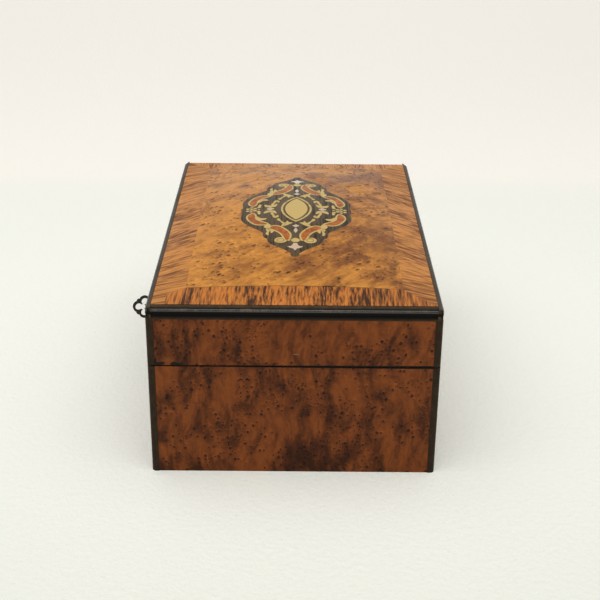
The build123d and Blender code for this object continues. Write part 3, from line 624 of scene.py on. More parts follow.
def smooth(points, closed=True, step=0.55):
    """Close points on the cubic through a few given ones; an open run leaves out its last."""
    knots = np.array(points, float)
    count = len(knots)
    after = np.roll(knots, -1, axis=0)
    gap = np.linalg.norm(after - knots, axis=1)
    matrix = np.zeros((count, count))
    target = np.zeros((count, 2))
    for i in range(count):
        if not closed and i in (0, count - 1):
            matrix[i, i] = 1
            continue
        before, here = gap[i - 1], gap[i]
        matrix[i, i - 1] += before
        matrix[i, i] += 2 * (before + here)
        matrix[i, (i + 1) % count] += here
        target[i] = 6 * ((after[i] - knots[i]) / here - (knots[i] - knots[i - 1]) / before)
    bend = np.linalg.solve(matrix, target)
    line = []
    for i in range(count if closed else count - 1):
        j = (i + 1) % count
        steps = max(2, math.ceil(gap[i] / step))
        for n in range(steps):
            b = n / steps
            a = 1 - b
            curve = ((a ** 3 - a) * bend[i] + (b ** 3 - b) * bend[j]) * gap[i] ** 2 / 6
            line.append(a * knots[i] + b * knots[j] + curve)
    return line


def even(line, count):
    """Points evenly along a closed line, each with its direction."""
    line = np.array(line)
    ahead = np.roll(line, -1, axis=0) - line
    lengths = np.linalg.norm(ahead, axis=1)
    along = np.concatenate([[0], np.cumsum(lengths)])
    found = []
    for n in range(count):
        where = along[-1] * n / count
        i = min(int(np.searchsorted(along, where, side="right")) - 1, len(line) - 1)
        part = (where - along[i]) / lengths[i]
        found.append((line[i] + part * ahead[i], ahead[i] / lengths[i]))
    return found


def area(line):
    """Signed area of a closed line."""
    x, y = np.array(line).T
    return 0.5 * float(np.sum(x * np.roll(y, -1) - np.roll(x, -1) * y))


def grown(points, by, count=16):
    """The smooth loop round another, everywhere a little larger."""
    line = smooth(points)
    out = math.copysign(by, area(line))
    return smooth([point + out * np.array([way[1], -way[0]]) for point, way in even(line, count)])


def runs(*parts):
    """A closed line of open runs that meet in points."""
    line = []
    for part in parts:
        line += smooth(part, closed=False) if len(part) > 2 else [np.array(part[0], float)]
    return line


def dot(x, y, radius, sides=28):
    """The points of a round."""
    angles = [2 * math.pi * n / sides for n in range(sides)]
    return [np.array([x + radius * math.cos(a), y + radius * math.sin(a)]) for a in angles]


def flower(x, y, reach, radius):
    """Four round petals about a middle."""
    return [dot(x + reach * way_x, y + reach * way_y, radius)
            for way_x, way_y in ((1, 0), (0, 1), (-1, 0), (0, -1))]


def stepped(line, step):
    """A closed line with points added along its long stretches."""
    points = []
    for i, here in enumerate(line):
        after = line[(i + 1) % len(line)]
        parts = max(1, math.ceil(math.dist(here, after) / step))
        points += [tuple(h + (a - h) * n / parts for h, a in zip(here, after)) for n in range(parts)]
    return points


def pointed_oval(half_long, half_wide, steps=40):
    """Two arcs that meet in a point at each end."""
    radius = (half_long ** 2 + half_wide ** 2) / (2 * half_wide)
    reach = math.asin(half_long / radius)
    angles = [reach - 2 * reach * n / steps for n in range(steps)]
    return [np.array([side * (half_wide - radius + radius * math.cos(a)), side * radius * math.sin(a)])
            for side in (1, -1) for a in angles]


def flipped(line, x_side, y_side):
    """A line mirrored by the signs of its two directions."""
    return [np.array([point[0] * x_side, point[1] * y_side]) for point in line]


def quarters(lines):
    """Each line in all four quarters."""
    return [flipped(line, x, y) for line in lines for x in (1, -1) for y in (1, -1)]


def pair(line, across):
    """A line and its mirror; across flips the short direction, else the long one."""
    return [line, flipped(line, -1, 1) if across else flipped(line, 1, -1)]


# The cartouche's lines: across the lid, then along it, from its middle

COMMAS = [
    [(14.8, 31.2), (9.4, 34.0), (5.2, 40.6), (3.7, 48.4), (5.5, 54.2), (7.3, 49.6), (9.6, 42.9),
     (14.4, 37.2), (16.8, 33.4)],
    [(29.6, 7.4), (27.9, 11.0), (27.3, 17.2), (23.2, 23.2), (19.2, 27.6), (24.0, 28.2), (29.2, 23.6),
     (32.2, 16.4), (31.6, 9.6)],
]
LEAVES = {
    "tie": [(17.1, 28.3), (18.7, 27.2), (20.5, 29.5), (20.9, 32.2), (19.1, 34.6), (17.3, 32.4)],
    "outer_leaf": [(18.6, 34.2), (19.5, 37.0), (18.8, 40.2), (19.5, 43.2), (17.7, 46.1), (17.5, 42.6),
                   (16.9, 39.2), (17.2, 36.0)],
    "small_leaf": [(16.8, 34.8), (16.6, 38.4), (15.7, 42.6), (14.3, 40.2), (14.9, 36.9)],
    "inner_leaf": [(27.4, 12.8), (24.7, 15.0), (22.7, 17.2), (19.8, 17.6), (20.4, 19.6), (22.6, 20.6),
                   (24.9, 20.6), (27.0, 17.0)],
    "calyx": [(14.9, 3.6), (17.8, 3.1), (20.7, 3.6), (21.7, 8.4), (18.6, 6.8), (16.0, 7.3), (13.3, 9.4),
              (13.6, 6.2)],
    "stem": [(16.9, 6.4), (17.4, 8.8), (16.2, 12.4), (14.4, 16.9), (13.2, 17.0), (14.2, 13.0),
             (15.4, 9.2)],
    "bud": [(12.6, 12.2), (13.4, 14.4), (12.4, 16.3), (11.6, 14.2)],
    "wing": [(5.7, 22.3), (6.9, 25.6), (9.0, 28.4), (9.3, 32.2), (6.6, 30.8), (3.9, 28.2), (2.1, 25.6),
             (4.2, 25.2)],
    "sprig": [(7.6, 27.2), (8.9, 24.0), (10.4, 20.9), (11.6, 18.4), (12.9, 19.8), (11.5, 22.6),
              (9.8, 25.2), (8.6, 27.6)],
    "side_leaf": [(25.6, 4.4), (26.3, 7.0), (25.1, 9.8), (24.1, 7.2)],
}
FAN = [(0, 50.4), (2.0, 51.6), (2.9, 53.9), (1.6, 56.0), (0, 56.5), (-1.6, 56.0), (-2.9, 53.9),
       (-2.0, 51.6)]
BLOOM = [(0, 68.6), (1.3, 65.7), (3.3, 64.6), (5.1, 62.4), (2.9, 62.2), (1.7, 60.2), (1.3, 57.8)]
SHOULDER = [(2.7, 72.7), (7.4, 66.9), (13.6, 61.2), (17.4, 56.0), (18.3, 51.2)]
WAIST = [(18.3, 51.2), (20.6, 48.6), (21.2, 44.6), (21.6, 40.9)]
FLANK = [(21.6, 40.9), (28.8, 32.0), (34.4, 23.8), (37.3, 14.0), (36.5, 5.8)]
CUSP = [(36.5, 5.8), (37.6, 0), (36.5, -5.8)]
TIP = [(-2.7, 72.7), (-2.6, 75.2), (0, 76.9), (2.6, 75.2), (2.7, 72.7)]
VOLUTE = (9.5, 53.5)
BEADS = [(33.2, 2.0, 1.25), (30.7, 3.8, 1.15), (30.6, 0, 1.3), (28.1, 2.0, 1.35), (25.6, 4.2, 1.4),
         (25.4, 0, 1.0)]
BRASS_LINE = 1.2
RING = (24.4, 10.5, 1.4)
PLAQUE = (20.4, 7.6)
CARTOUCHE_SHIFT = (-1.0, 0.6)
CARTOUCHE_TURN = -0.009


def plan(across, along):
    """A point of the cartouche in the box's own plan, in millimetres."""
    cosine, sine = math.cos(CARTOUCHE_TURN), math.sin(CARTOUCHE_TURN)
    return (CARTOUCHE_SHIFT[0] - along * cosine - across * sine,
            CARTOUCHE_SHIFT[1] + across * cosine - along * sine)


def ground_line():
    """The lobed lozenge of the dark ground."""
    quarter = [SHOULDER, WAIST, FLANK]
    lower = [flipped(part, 1, -1)[::-1] for part in quarter[::-1]]
    right = quarter + [CUSP] + lower
    left = [flipped(part, -1, -1) for part in right]
    return runs(*right, flipped(TIP, -1, -1), *left, TIP)


def brass_lines():
    """Every outline of brass, overlapping where they are joined."""
    lines = quarters([grown(comma, BRASS_LINE) for comma in COMMAS])
    lines += quarters([smooth(leaf) for leaf in LEAVES.values()])
    lines += quarters([dot(*VOLUTE, 4.2, 48)])
    for x, y, radius in BEADS:
        lines += quarters([dot(x, y, radius)]) if y else pair(dot(x, y, radius), True)
    lines += pair(smooth(FAN), False)
    return lines + [pointed_oval(RING[0], RING[1])]


def pearl_lines():
    """Tulips, drops and flowers of pearl."""
    right = [BLOOM[:2], BLOOM[1:4], BLOOM[3:]]
    left = [flipped(part, -1, 1)[::-1] for part in right[::-1]]
    tulip = runs(*right, [BLOOM[-1], (-BLOOM[-1][0], BLOOM[-1][1])], *left)
    drop = runs([(0, 34.4), (1.3, 38.0), (0, 42.8)], [(0, 42.8), (-1.3, 38.0), (0, 34.4)])
    lines = pair(tulip, False) + pair(drop, False)
    for petal in flower(0, 31.2, 1.15, 1.05):
        lines += pair(petal, False)
    for petal in flower(17.8, 0, 1.5, 1.25):
        lines += pair(petal, True)
    return lines


# Meshes

WELD = 2e-6
SHARP = math.radians(28)
CUT_TOLERANCE = 1e-4


def adopt(name, mesh, finish, slot, body, *nodes, smooth_angle=None):
    """Links a finished mesh as a piece: its material, the nodes it stands for and its body."""
    piece = bpy.data.objects.new(name, mesh)
    bpy.context.scene.collection.objects.link(piece)
    mesh.materials.clear()
    mesh.materials.append(finish)
    if smooth_angle is not None:
        mesh.shade_smooth()
        mesh.set_sharp_from_angle(angle=math.radians(smooth_angle))
    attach(piece, body)
    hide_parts(*nodes)
    return piece


def dress(finish, *names):
    """Gives CAD nodes their finish."""
    for name in names:
        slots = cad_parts[name].data.materials
        slots.clear()
        slots.append(finish)


def ended(shape, name):
    """A finished mesh made of an editable shape, its faces turned outwards."""
    bmesh.ops.recalc_face_normals(shape, faces=shape.faces)
    mesh = bpy.data.meshes.new(name)
    shape.to_mesh(mesh)
    shape.free()
    return mesh


def fitting(name, node, finish, slot, body, edge=None):
    """A metal fitting: the node's own shape with softened, slightly worn edges."""
    edge = bpy.context.scene.box_sizes.edge if edge is None else edge
    mesh = bpy.data.meshes.new(name)
    shape = bmesh.new()
    shape.from_mesh(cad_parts[node].data)
    bmesh.ops.remove_doubles(shape, verts=shape.verts, dist=WELD)
    bmesh.ops.dissolve_limit(shape, angle_limit=math.radians(0.6), verts=shape.verts, edges=shape.edges)
    bmesh.ops.recalc_face_normals(shape, faces=shape.faces)
    sharp = [e for e in shape.edges if len(e.link_faces) == 2 and e.calc_face_angle(0) > SHARP]
    worn = shape.verts.layers.float.new("edge")
    made = bmesh.ops.bevel(shape, geom=sharp, offset=edge * MM, offset_type="OFFSET", segments=2,
                           profile=0.6, affect="EDGES", clamp_overlap=True)
    for face in made["faces"]:
        for vert in face.verts:
            vert[worn] = 1.0
    bmesh.ops.dissolve_degenerate(shape, dist=1e-6, edges=shape.edges)
    shape.to_mesh(mesh)
    shape.free()
    return adopt(name, mesh, finish, slot, body, node, smooth_angle=32)


class Lid:
    """The lid's domed top, worked out from the frame."""

    def __init__(self):
        self.edge_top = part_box("lid_front_moulding")[1].z
        self.reach_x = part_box("lid_right_crossband")[1].x
        self.reach_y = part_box("lid_back_crossband")[1].y
        self.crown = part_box("cartouche_plaque")[1].z - self.edge_top
        low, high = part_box("lid_burl_field")
        self.field = (low.x, high.x, high.y)
        self.step_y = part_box("lid_right_crossband")[0].y
        self.veneer = 1.0 * MM

    def shares(self, x, y):
        """How far along and across the lid a point lies, 0 to 1."""
        return (x + self.reach_x) / (2 * self.reach_x), (y + self.reach_y) / (2 * self.reach_y)

    def lift(self, x, y):
        """Height of the surface."""
        s, t = self.shares(x, y)
        return self.edge_top + 16 * self.crown * s * (1 - s) * t * (1 - t)

    def normal(self, x, y):
        """Direction square to the surface."""
        s, t = self.shares(x, y)
        slope_x = 16 * self.crown * (1 - 2 * s) * t * (1 - t) / (2 * self.reach_x)
        slope_y = 16 * self.crown * (1 - 2 * t) * s * (1 - s) / (2 * self.reach_y)
        return Vector((-slope_x, -slope_y, 1)).normalized()


def band_lines(lid):
    """The four crossbands in plan, in metres, with the stepped mitre of the near front corner."""
    far, near, field_y = lid.field
    x, y, step = lid.reach_x, lid.reach_y, lid.step_y
    knee = near + (x - near) / 3
    return {
        "right": [(near, field_y), (x, y), (x, step), (knee, step), (near, -field_y)],
        "left": [(far, -field_y), (-x, -y), (-x, y), (far, field_y)],
        "front": [(near, -field_y), (knee, step), (x, step), (x, -y), (-x, -y), (far, -field_y)],
        "back": [(far, field_y), (-x, y), (x, y), (near, field_y)],
    }


def sawn_sheet(lid, grid):
    """The whole top as one triangulated plan; each triangle knows the piece that it belongs to."""
    pitch = grid * MM
    far, near, field_y = lid.field
    field = [(far, -field_y), (near, -field_y), (near, field_y), (far, field_y)]
    outlines = [("field", stepped(field, pitch))]
    outlines += [("band_" + side, stepped(line, pitch)) for side, line in band_lines(lid).items()]
    inlay = [("ground", ground_line())] + [("brass", line) for line in brass_lines()]
    inlay.append(("ring_hole", pointed_oval(RING[0] - 1.6 * RING[2], RING[1] - RING[2])))
    inlay.append(("plaque", pointed_oval(*PLAQUE)))
    inlay += [("wood", line) for comma in COMMAS for line in quarters([smooth(comma)])]
    inlay += [("pearl", line) for line in pearl_lines()]
    outlines += [(name, [tuple(MM * value for value in plan(x, y)) for x, y in line])
                 for name, line in inlay]
    points = []
    faces = []
    for _, line in outlines:
        faces.append(list(range(len(points), len(points) + len(line))))
        points += [Vector(point) / MM for point in (line if area(line) > 0 else line[::-1])]
    count_x, count_y = (round(2 * reach / pitch) for reach in (lid.reach_x, lid.reach_y))
    points += [Vector((-lid.reach_x + 2 * lid.reach_x * i / count_x,
                       -lid.reach_y + 2 * lid.reach_y * j / count_y)) / MM
               for i in range(1, count_x) for j in range(1, count_y)]
    cut = delaunay_2d_cdt(points, [], faces, 1, CUT_TOLERANCE, True)
    rank = ["pearl", "wood", "plaque", "ring_hole", "brass", "ground", "field"]
    pieces = {}
    for triangle, owners in zip(cut[2], cut[5]):
        names = {outlines[owner][0] for owner in owners}
        top = next(name for name in rank + sorted(names) if name in names)
        pieces.setdefault("ground" if top == "ring_hole" else top, []).append(triangle)
    return [point * MM for point in cut[0]], pieces


def sawn_piece(name, points, triangles, lid, sizes):
    """One material's share of the sheet: rounded joints on top, plain walls and back."""
    drop = sizes.joint_depth * MM
    shape = bmesh.new()
    joint = shape.verts.layers.float.new("joint")
    top = {}
    back = {}
    for index in {index for triangle in triangles for index in triangle}:
        x, y = points[index]
        top[index] = shape.verts.new((x, y, lid.lift(x, y)))
        back[index] = shape.verts.new((x, y, lid.lift(x, y) - drop - lid.veneer))
        back[index][joint] = 1.0
    faces = [shape.faces.new([top[index] for index in triangle]) for triangle in triangles]
    for triangle in triangles:
        shape.faces.new([back[index] for index in reversed(triangle)])
    bmesh.ops.inset_region(shape, faces=faces, thickness=sizes.joint * MM, use_boundary=True,
                           use_even_offset=True)
    rim = {edge for edge in shape.edges if len(edge.link_faces) == 1}
    upper = [edge for edge in rim if edge.verts[0][joint] < 0.5]
    for vert in {vert for edge in upper for vert in edge.verts}:
        vert[joint] = 1.0
        vert.co.z -= drop
    for vert in bmesh.ops.extrude_edge_only(shape, edges=upper)["geom"]:
        if isinstance(vert, bmesh.types.BMVert):
            vert.co.z -= lid.veneer
    bmesh.ops.remove_doubles(shape, verts=shape.verts, dist=2e-7)
    mesh = ended(shape, name)
    mesh.shade_smooth()
    flags = mesh.attributes["joint"].data
    normals = []
    for face in mesh.polygons:
        for index in face.vertices:
            x, y, _ = mesh.vertices[index].co
            on_top = face.normal.z > 0.5 and flags[index].value < 0.5
            normals.append(lid.normal(x, y) if on_top else face.normal.copy())
    mesh.normals_split_custom_set(normals)
    return mesh


# Geometry Nodes: the ebonised strips and the screws

STRIP_RINGS = 96
SCREW_SIDES = 28
CAD_SCREW_SIDES = 8


def position(tree):
    """Each point's own place."""
    return put(tree, "GeometryNodeInputPosition")[0]


def moved(geometry, **named):
    """Geometry with its points moved."""
    return put(geometry.tree, "GeometryNodeSetPosition", {"Geometry": geometry, **named})[0]


def shifted(geometry, **named):
    """Geometry moved or turned as a whole."""
    return put(geometry.tree, "GeometryNodeTransform", {"Geometry": geometry, **named})[0]


def noted(geometry, name, value):
    """Geometry that holds a value at each point."""
    return put(geometry.tree, "GeometryNodeStoreNamedAttribute",
               {"Geometry": geometry, "Name": name, "Value": value})[0]


def end_tree(geometry, finish, result):
    """Ends a geometry tree with real meshes and their material."""
    whole = put(geometry.tree, "GeometryNodeRealizeInstances", {"Geometry": geometry})[0]
    feed(result[0], put(geometry.tree, "GeometryNodeSetMaterial",
                        {"Geometry": whole, "Material": finish})[0])


def ebonised_strip(name):
    """A strip with one rounded corner, drawn out along Z, placed, and rounded at the box's corners."""
    tree, given, result = group(name, [
        ("Width", "Float", 0.0035), ("Height", "Float", 0.0084), ("Length", "Float", 0.1),
        ("Slope", "Float", 0.0), ("Nose", "Float", 0.0009), ("Arris", "Float", 0.0004),
        ("Steps", "Int", 9), ("Waver", "Float", 0.00006), ("Dull", "Float", 0.0), ("Foot", "Float", 0.0),
        ("Turn", "Rotation", None), ("Place", "Vector", None), ("Corner", "Float", 0.0026),
        ("Reach", "Vector", None), ("Finish", "Material", None)],
        [("Geometry", "Geometry")], "GeometryNodeTree")
    oblong = put(tree, "GeometryNodeCurvePrimitiveQuadrilateral",
                 {"Width": given["Width"], "Height": given["Height"]})[0]
    x, y, _ = parted(position(tree))
    outer = (x > 0.0) * (y > 0.0)
    sloped = moved(oblong, Selection=outer, Offset=joined(0.0, given["Slope"] * -1.0, 0.0))
    rounded = put(tree, "GeometryNodeFilletCurve", {
        "Curve": sloped, "Radius": given["Arris"] + outer * (given["Nose"] - given["Arris"]),
        "Limit Radius": True, "Count": given["Steps"]}, mode="POLY")[0]
    line = put(tree, "GeometryNodeCurvePrimitiveLine", {"End": (0.0, 0.0, 1.0)})[0]
    path = put(tree, "GeometryNodeResampleCurve", {"Curve": line, "Count": STRIP_RINGS})[0]
    share = put(tree, "GeometryNodeSplineParameter")["Factor"]
    closer = 0.5 - calc("COSINE", share * math.pi) * 0.5
    spaced = moved(path, Position=joined(0.0, 0.0, closer * given["Length"]))
    swept = put(tree, "GeometryNodeCurveToMesh",
                {"Curve": spaced, "Profile Curve": rounded, "Fill Caps": True})[0]
    x, y, _ = parted(position(tree))
    across = x / given["Width"]
    upward = (y + given["Slope"]) / given["Height"]
    edge = fade(across * 0.7 + upward * 1.3, 0.81, 0.88) * (1.0 - given["Foot"])
    # The lowest part stays brown: rubbed wood, and on the bead a painted reflection of the pale floor.
    low_part = 1.0 - given["Foot"] * fade(upward, -0.42, -0.2)
    on_top = fade(across, 0.2, 0.34, 1.0, 0.0) * (y > 0.0)
    marked = noted(noted(swept, "edge", edge), "dull", most([given["Dull"] * low_part, on_top]))
    turned = shifted(marked, Rotation=given["Turn"], Translation=given["Place"])
    sway = put(tree, "ShaderNodeTexNoise", {"Scale": 26.0, "Detail": 2.0})["Color"]
    wavy = moved(turned, Offset=swayed(sway, given["Waver"]))
    end_tree(moved(wavy, Position=plan_corner(tree, given)), given["Finish"], result)
    return tree


def plan_corner(tree, given):
    """Each point's place once the box's upright corners are rounded in plan."""
    here = position(tree)
    flat = stretch(here, 1, 1, 0)
    core = arrow("SUBTRACT", given["Reach"], joined(given["Corner"], given["Corner"], 0.0))
    beyond = arrow("SUBTRACT", arrow("ABSOLUTE", flat), core)
    beyond = arrow("MAXIMUM", stretch(beyond, 1, 1, 0), (0, 0, 0))
    over = most([arrow("LENGTH", beyond, out="Value") / given["Corner"] - 1.0, 0.0])
    back = arrow("SCALE", beyond, Scale=over / (over + 1.0))
    return arrow("SUBTRACT", here, arrow("MULTIPLY", back, arrow("SIGN", flat)))


def slotted_screws(name):
    """A slotted countersunk screw on each point, its slot turned by chance from a fixed seed."""
    tree, given, result = group(name, [
        ("Points", "Geometry", None), ("Head", "Float", 0.00134), ("Shank", "Float", 0.0007),
        ("Length", "Float", 0.006), ("Slot", "Float", 0.0004), ("Turn", "Rotation", None),
        ("Seed", "Int", 5), ("Finish", "Material", None)],
        [("Geometry", "Geometry")], "GeometryNodeTree")
    cone = given["Head"] - given["Shank"]
    head = put(tree, "GeometryNodeMeshCone", {"Vertices": SCREW_SIDES, "Radius Top": given["Head"],
                                              "Radius Bottom": given["Shank"], "Depth": cone})[0]
    head = shifted(head, Translation=joined(0.0, 0.0, cone * -1.0))
    shank = put(tree, "GeometryNodeMeshCylinder", {
        "Vertices": SCREW_SIDES // 2, "Radius": given["Shank"], "Depth": given["Length"]})[0]
    shank = shifted(shank, Translation=joined(0.0, 0.0, (given["Length"] * 0.5 + cone) * -1.0))
    slot = put(tree, "GeometryNodeMeshCube", {"Size": joined(0.01, given["Slot"], given["Slot"])})[0]
    head = put(tree, "GeometryNodeMeshBoolean", {"Mesh 1": head, "Mesh 2": slot}, operation="DIFFERENCE")[0]
    screw = put(tree, "GeometryNodeJoinGeometry")
    for part in (head, shank):
        feed(screw.node.inputs[0], part)
    chance = put(tree, "FunctionNodeRandomValue", {"Seed": given["Seed"], 3: 3.1}, data_type="FLOAT")[1]
    screws = put(tree, "GeometryNodeInstanceOnPoints", {
        "Points": given["Points"], "Instance": screw[0], "Rotation": given["Turn"]})[0]
    screws = put(tree, "GeometryNodeRotateInstances",
                 {"Instances": screws, "Rotation": joined(0.0, 0.0, chance)})[0]
    end_tree(screws, given["Finish"], result)
    return tree


def grow(maker, base, **inputs):
    """Runs a geometry tree on a mesh and returns the result as a plain mesh."""
    tree = shared(maker)
    bench = bpy.data.objects.new("bench", base)
    bpy.context.scene.collection.objects.link(bench)
    modifier = bench.modifiers.new("rule", "NODES")
    modifier.node_group = tree
    sockets = {item.name: item for item in tree.interface.items_tree if item.in_out == "INPUT"}
    for label, value in inputs.items():
        modifier[sockets[label].identifier] = value
    bpy.context.view_layer.update()
    evaluated = bench.evaluated_get(bpy.context.evaluated_depsgraph_get())
    mesh = bpy.data.meshes.new_from_object(evaluated)
    bpy.data.objects.remove(bench)
    return mesh


def merged(name, meshes):
    """Several meshes as one, each still closed by itself."""
    shape = bmesh.new()
    for mesh in meshes:
        before = len(shape.verts)
        shape.from_mesh(mesh)
        bmesh.ops.remove_doubles(shape, verts=list(shape.verts)[before:], dist=1e-7)
    return ended(shape, name)


def strip(low, high, outward, upward, finish, nose, slope=0.0, dull=0.0, foot=0.0):
    """One ebonised strip that fills a box; outward and upward point to its rounded corner.

    dull is how brown it is; the nearer foot is to 1, the more that is so of its lowest part only.
    """
    sizes = bpy.context.scene.box_sizes
    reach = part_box("body_corner_posts")[1]
    along = outward.cross(upward)
    turn = Matrix((outward, upward, along)).transposed().to_euler()
    span = high - low
    length = abs(span.dot(along))
    return grow(ebonised_strip, bpy.data.meshes.new("start"), Width=abs(span.dot(outward)),
                Height=abs(span.dot(upward)), Length=length, Slope=slope * MM, Nose=nose * MM,
                Arris=sizes.strip_edge * MM, Steps=sizes.strip_steps, Dull=dull, Foot=foot,
                Turn=tuple(turn), Place=tuple((low + high) / 2 - along * length / 2),
                Corner=sizes.corner * MM, Reach=(reach.x, reach.y, 0.0), Finish=finish)


def islands(node):
    """The box of each separate solid of a CAD node."""
    shape = bmesh.new()
    shape.from_mesh(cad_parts[node].data)
    bmesh.ops.remove_doubles(shape, verts=shape.verts, dist=WELD)
    left = set(shape.verts)
    boxes = []
    while left:
        queue = [left.pop()]
        found = []
        while queue:
            vert = queue.pop()
            found.append(vert.co.copy())
            beside = {edge.other_vert(vert) for edge in vert.link_edges} & left
            left -= beside
            queue += beside
        boxes.append((Vector(map(min, *found)), Vector(map(max, *found))))
    shape.free()
    return sorted(boxes, key=lambda box: tuple(box[0]))


def screw_set(name, node, body, finish, seed):
    """Slotted screws in place of a node's plain ones, with their heads where the node has them."""
    side = 1 if body == "case" else -1
    groups = {}
    for low, high in islands(node):
        span = high - low
        axis = max(range(3), key=lambda i: span[i])
        middle = (low + high) / 2
        middle[axis] = (high if side > 0 else low)[axis]
        groups.setdefault((axis, round(min(span) / 2, 6), round(span[axis], 6)), []).append(middle)
    meshes = []
    for (axis, head, length), places in groups.items():
        points = bpy.data.meshes.new("places")
        points.from_pydata([tuple(place) for place in places], [], [])
        out = Vector([side if i == axis else 0 for i in range(3)])
        turn = Vector((0, 0, 1)).rotation_difference(out).to_euler()
        inner = head * math.cos(math.pi / CAD_SCREW_SIDES)
        meshes.append(grow(slotted_screws, points, Head=inner, Shank=inner * 0.52, Length=length * 0.85,
                           Slot=inner * 0.3, Turn=tuple(turn), Seed=seed, Finish=finish))
    return adopt(name, merged(name, meshes), finish, "dark_steel", body, node, smooth_angle=30)


# Linings

RIPPLE = 0.00016
RIPPLES_PER_METRE = 55


def pad(name, node, finish, body, up, swell, steps_x=72, steps_y=48):
    """A covered pad in place of a flat lining: its edge rolls over and its face swells a little."""
    low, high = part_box(node)
    wide, deep, half = high.x - low.x, high.y - low.y, (high.z - low.z) / 2
    shape = bmesh.new()
    rows = {}
    for side in (1, -1):
        for i in range(steps_x + 1):
            for j in range(steps_y + 1):
                if side < 0 and (i in (0, steps_x) or j in (0, steps_y)):
                    rows[side, i, j] = rows[1, i, j]
                    continue
                s, t = i / steps_x, j / steps_y
                x, y = low.x + wide * s, low.y + deep * t
                inset = min(s * wide, (1 - s) * wide, t * deep, (1 - t) * deep) / swell
                roll = math.sqrt(1 - max(0.0, 1 - inset) ** 2)
                z = low.z + half + side * half * roll
                if side * up > 0:
                    z += noise.noise(Vector((x, y, side)) * RIPPLES_PER_METRE) * RIPPLE * roll * up
                rows[side, i, j] = shape.verts.new((x, y, z))
    for side in (1, -1):
        for i in range(steps_x):
            for j in range(steps_y):
                corners = [rows[side, i, j], rows[side, i + 1, j], rows[side, i + 1, j + 1],
                           rows[side, i, j + 1]]
                shape.faces.new(corners if side > 0 else corners[::-1])
    piece = adopt(name, ended(shape, name), finish, "lining", body, node, smooth_angle=60)


# Operators


class BOX_OT_boards(bpy.types.Operator):
    """Plain wood on the boards of case and lid"""
    bl_idname = "box.boards"
    bl_label = "Boards"

    def execute(self, context):
        finish = carcass_finish(context.scene.box_woods)
        names = [part + "_" + side + "_board" for part in ("body", "lid") for side in SIDES]
        dress(finish, "bottom_board", "lid_top_board", *names)
        return {"FINISHED"}


class BOX_OT_walls(bpy.types.Operator):
    """Burl veneer on the four walls of case and lid"""
    bl_idname = "box.walls"
    bl_label = "Wall veneers"

    def execute(self, context):
        finish = side_burl_finish(context.scene.box_woods)
        dress(finish, *[part + "_" + side + "_veneer" for part in ("body", "lid") for side in SIDES])
        return {"FINISHED"}


class BOX_OT_top(bpy.types.Operator):
    """Crossbands, burl and inlay of the lid, sawn from one domed sheet"""
    bl_idname = "box.top"
    bl_label = "Lid top"

    def execute(self, context):
        woods = context.scene.box_woods
        metals = context.scene.box_metals
        sizes = context.scene.box_sizes
        lid = Lid()
        points, pieces = sawn_sheet(lid, sizes.grid)
        ends = woods.end_pale, woods.end_stripe
        flanks = woods.side_band_pale, woods.side_band_stripe
        bands = {"right": ("crossband_near", 0.02, 0.5, 0.9, *ends, 0.9),
                 "left": ("crossband_far", -0.02, 0.3, 1.2, *flanks, 0.3),
                 "front": ("crossband_front", -1.9, 0.43, 0.6, *flanks, 0.45),
                 "back": ("crossband_back", -1.23, 0.51, 0.6, *flanks, 0.45)}
        curls = [(*plan(x * VOLUTE[0], y * VOLUTE[1]), lid.edge_top / MM + 8)
                 for x in (1, -1) for y in (1, -1)]
        line_brass = brass_finish(metals, "inlay_brass", 0.4, 0.42, curls)
        plaque_brass = brass_finish(metals, "plaque_brass", 0.15, 0.45)
        rows = [("top_burl", "field", "lid_burl_field", top_burl_finish(woods), "lid_burl")]
        rows += [("band_" + side, "band_" + side, "lid_" + side + "_crossband", crossband_finish(*band),
                  "crossband") for side, band in bands.items()]
        rows += [("inlay_ground", "ground", "cartouche_ground", inlay_ground_finish(woods), "ebony"),
                 ("inlay_brass", "brass", "cartouche_brass", line_brass, "inlay_brass"),
                 ("inlay_plaque", "plaque", "cartouche_plaque", plaque_brass, "inlay_brass"),
                 ("inlay_wood", "wood", "cartouche_wood", orange_finish(woods), "inlay_wood"),
                 ("inlay_pearl", "pearl", "cartouche_pearl", pearl_finish(metals), "pearl")]
        for name, share, node, finish, slot in rows:
            mesh = sawn_piece(name, points, pieces[share], lid, sizes)
            adopt(name, mesh, finish, slot, "lid", node)
        return {"FINISHED"}


class BOX_OT_strips(bpy.types.Operator):
    """Ebonised mouldings and corner posts"""
    bl_idname = "box.strips"
    bl_label = "Ebonised strips"

    def execute(self, context):
        finish = ebonised_finish(context.scene.box_woods)
        sizes = context.scene.box_sizes
        up = Vector((0, 0, 1))
        for side, (x, y) in SIDES.items():
            node = "lid_" + side + "_moulding"
            out = Vector((x, y, 0))
            low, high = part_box(node)
            split = low.z + sizes.bead * MM
            bead_low, bead_high = Vector(low), Vector((high.x, high.y, split))
            if x + y < 0:
                bead_low -= out * sizes.set_back * MM
            else:
                bead_high -= out * sizes.set_back * MM
            # The bead's browner foot is rubbed wood and also a painted reflection of the pale floor.
            bead = strip(bead_low, bead_high, out, up, finish, 0.3, dull=0.5, foot=0.79)
            nose = strip(Vector((low.x, low.y, split)), high, out, up, finish, sizes.nose, sizes.slope)
            name = "moulding_" + side
            adopt(name, merged(name, [nose, bead]), finish, "ebonised", "lid", node, smooth_angle=40)
        for part, body in (("body", "case"), ("lid", "lid")):
            node = part + "_corner_posts"
            name = part + "_posts"
            meshes = []
            for low, high in islands(node):
                x = Vector((math.copysign(1, low.x), 0, 0))
                y = Vector((0, math.copysign(1, low.y), 0))
                meshes.append(strip(low, high, x, y, finish, sizes.corner, dull=0.42))
            adopt(name, merged(name, meshes), finish, "ebonised", body, node, smooth_angle=40)
        return {"FINISHED"}


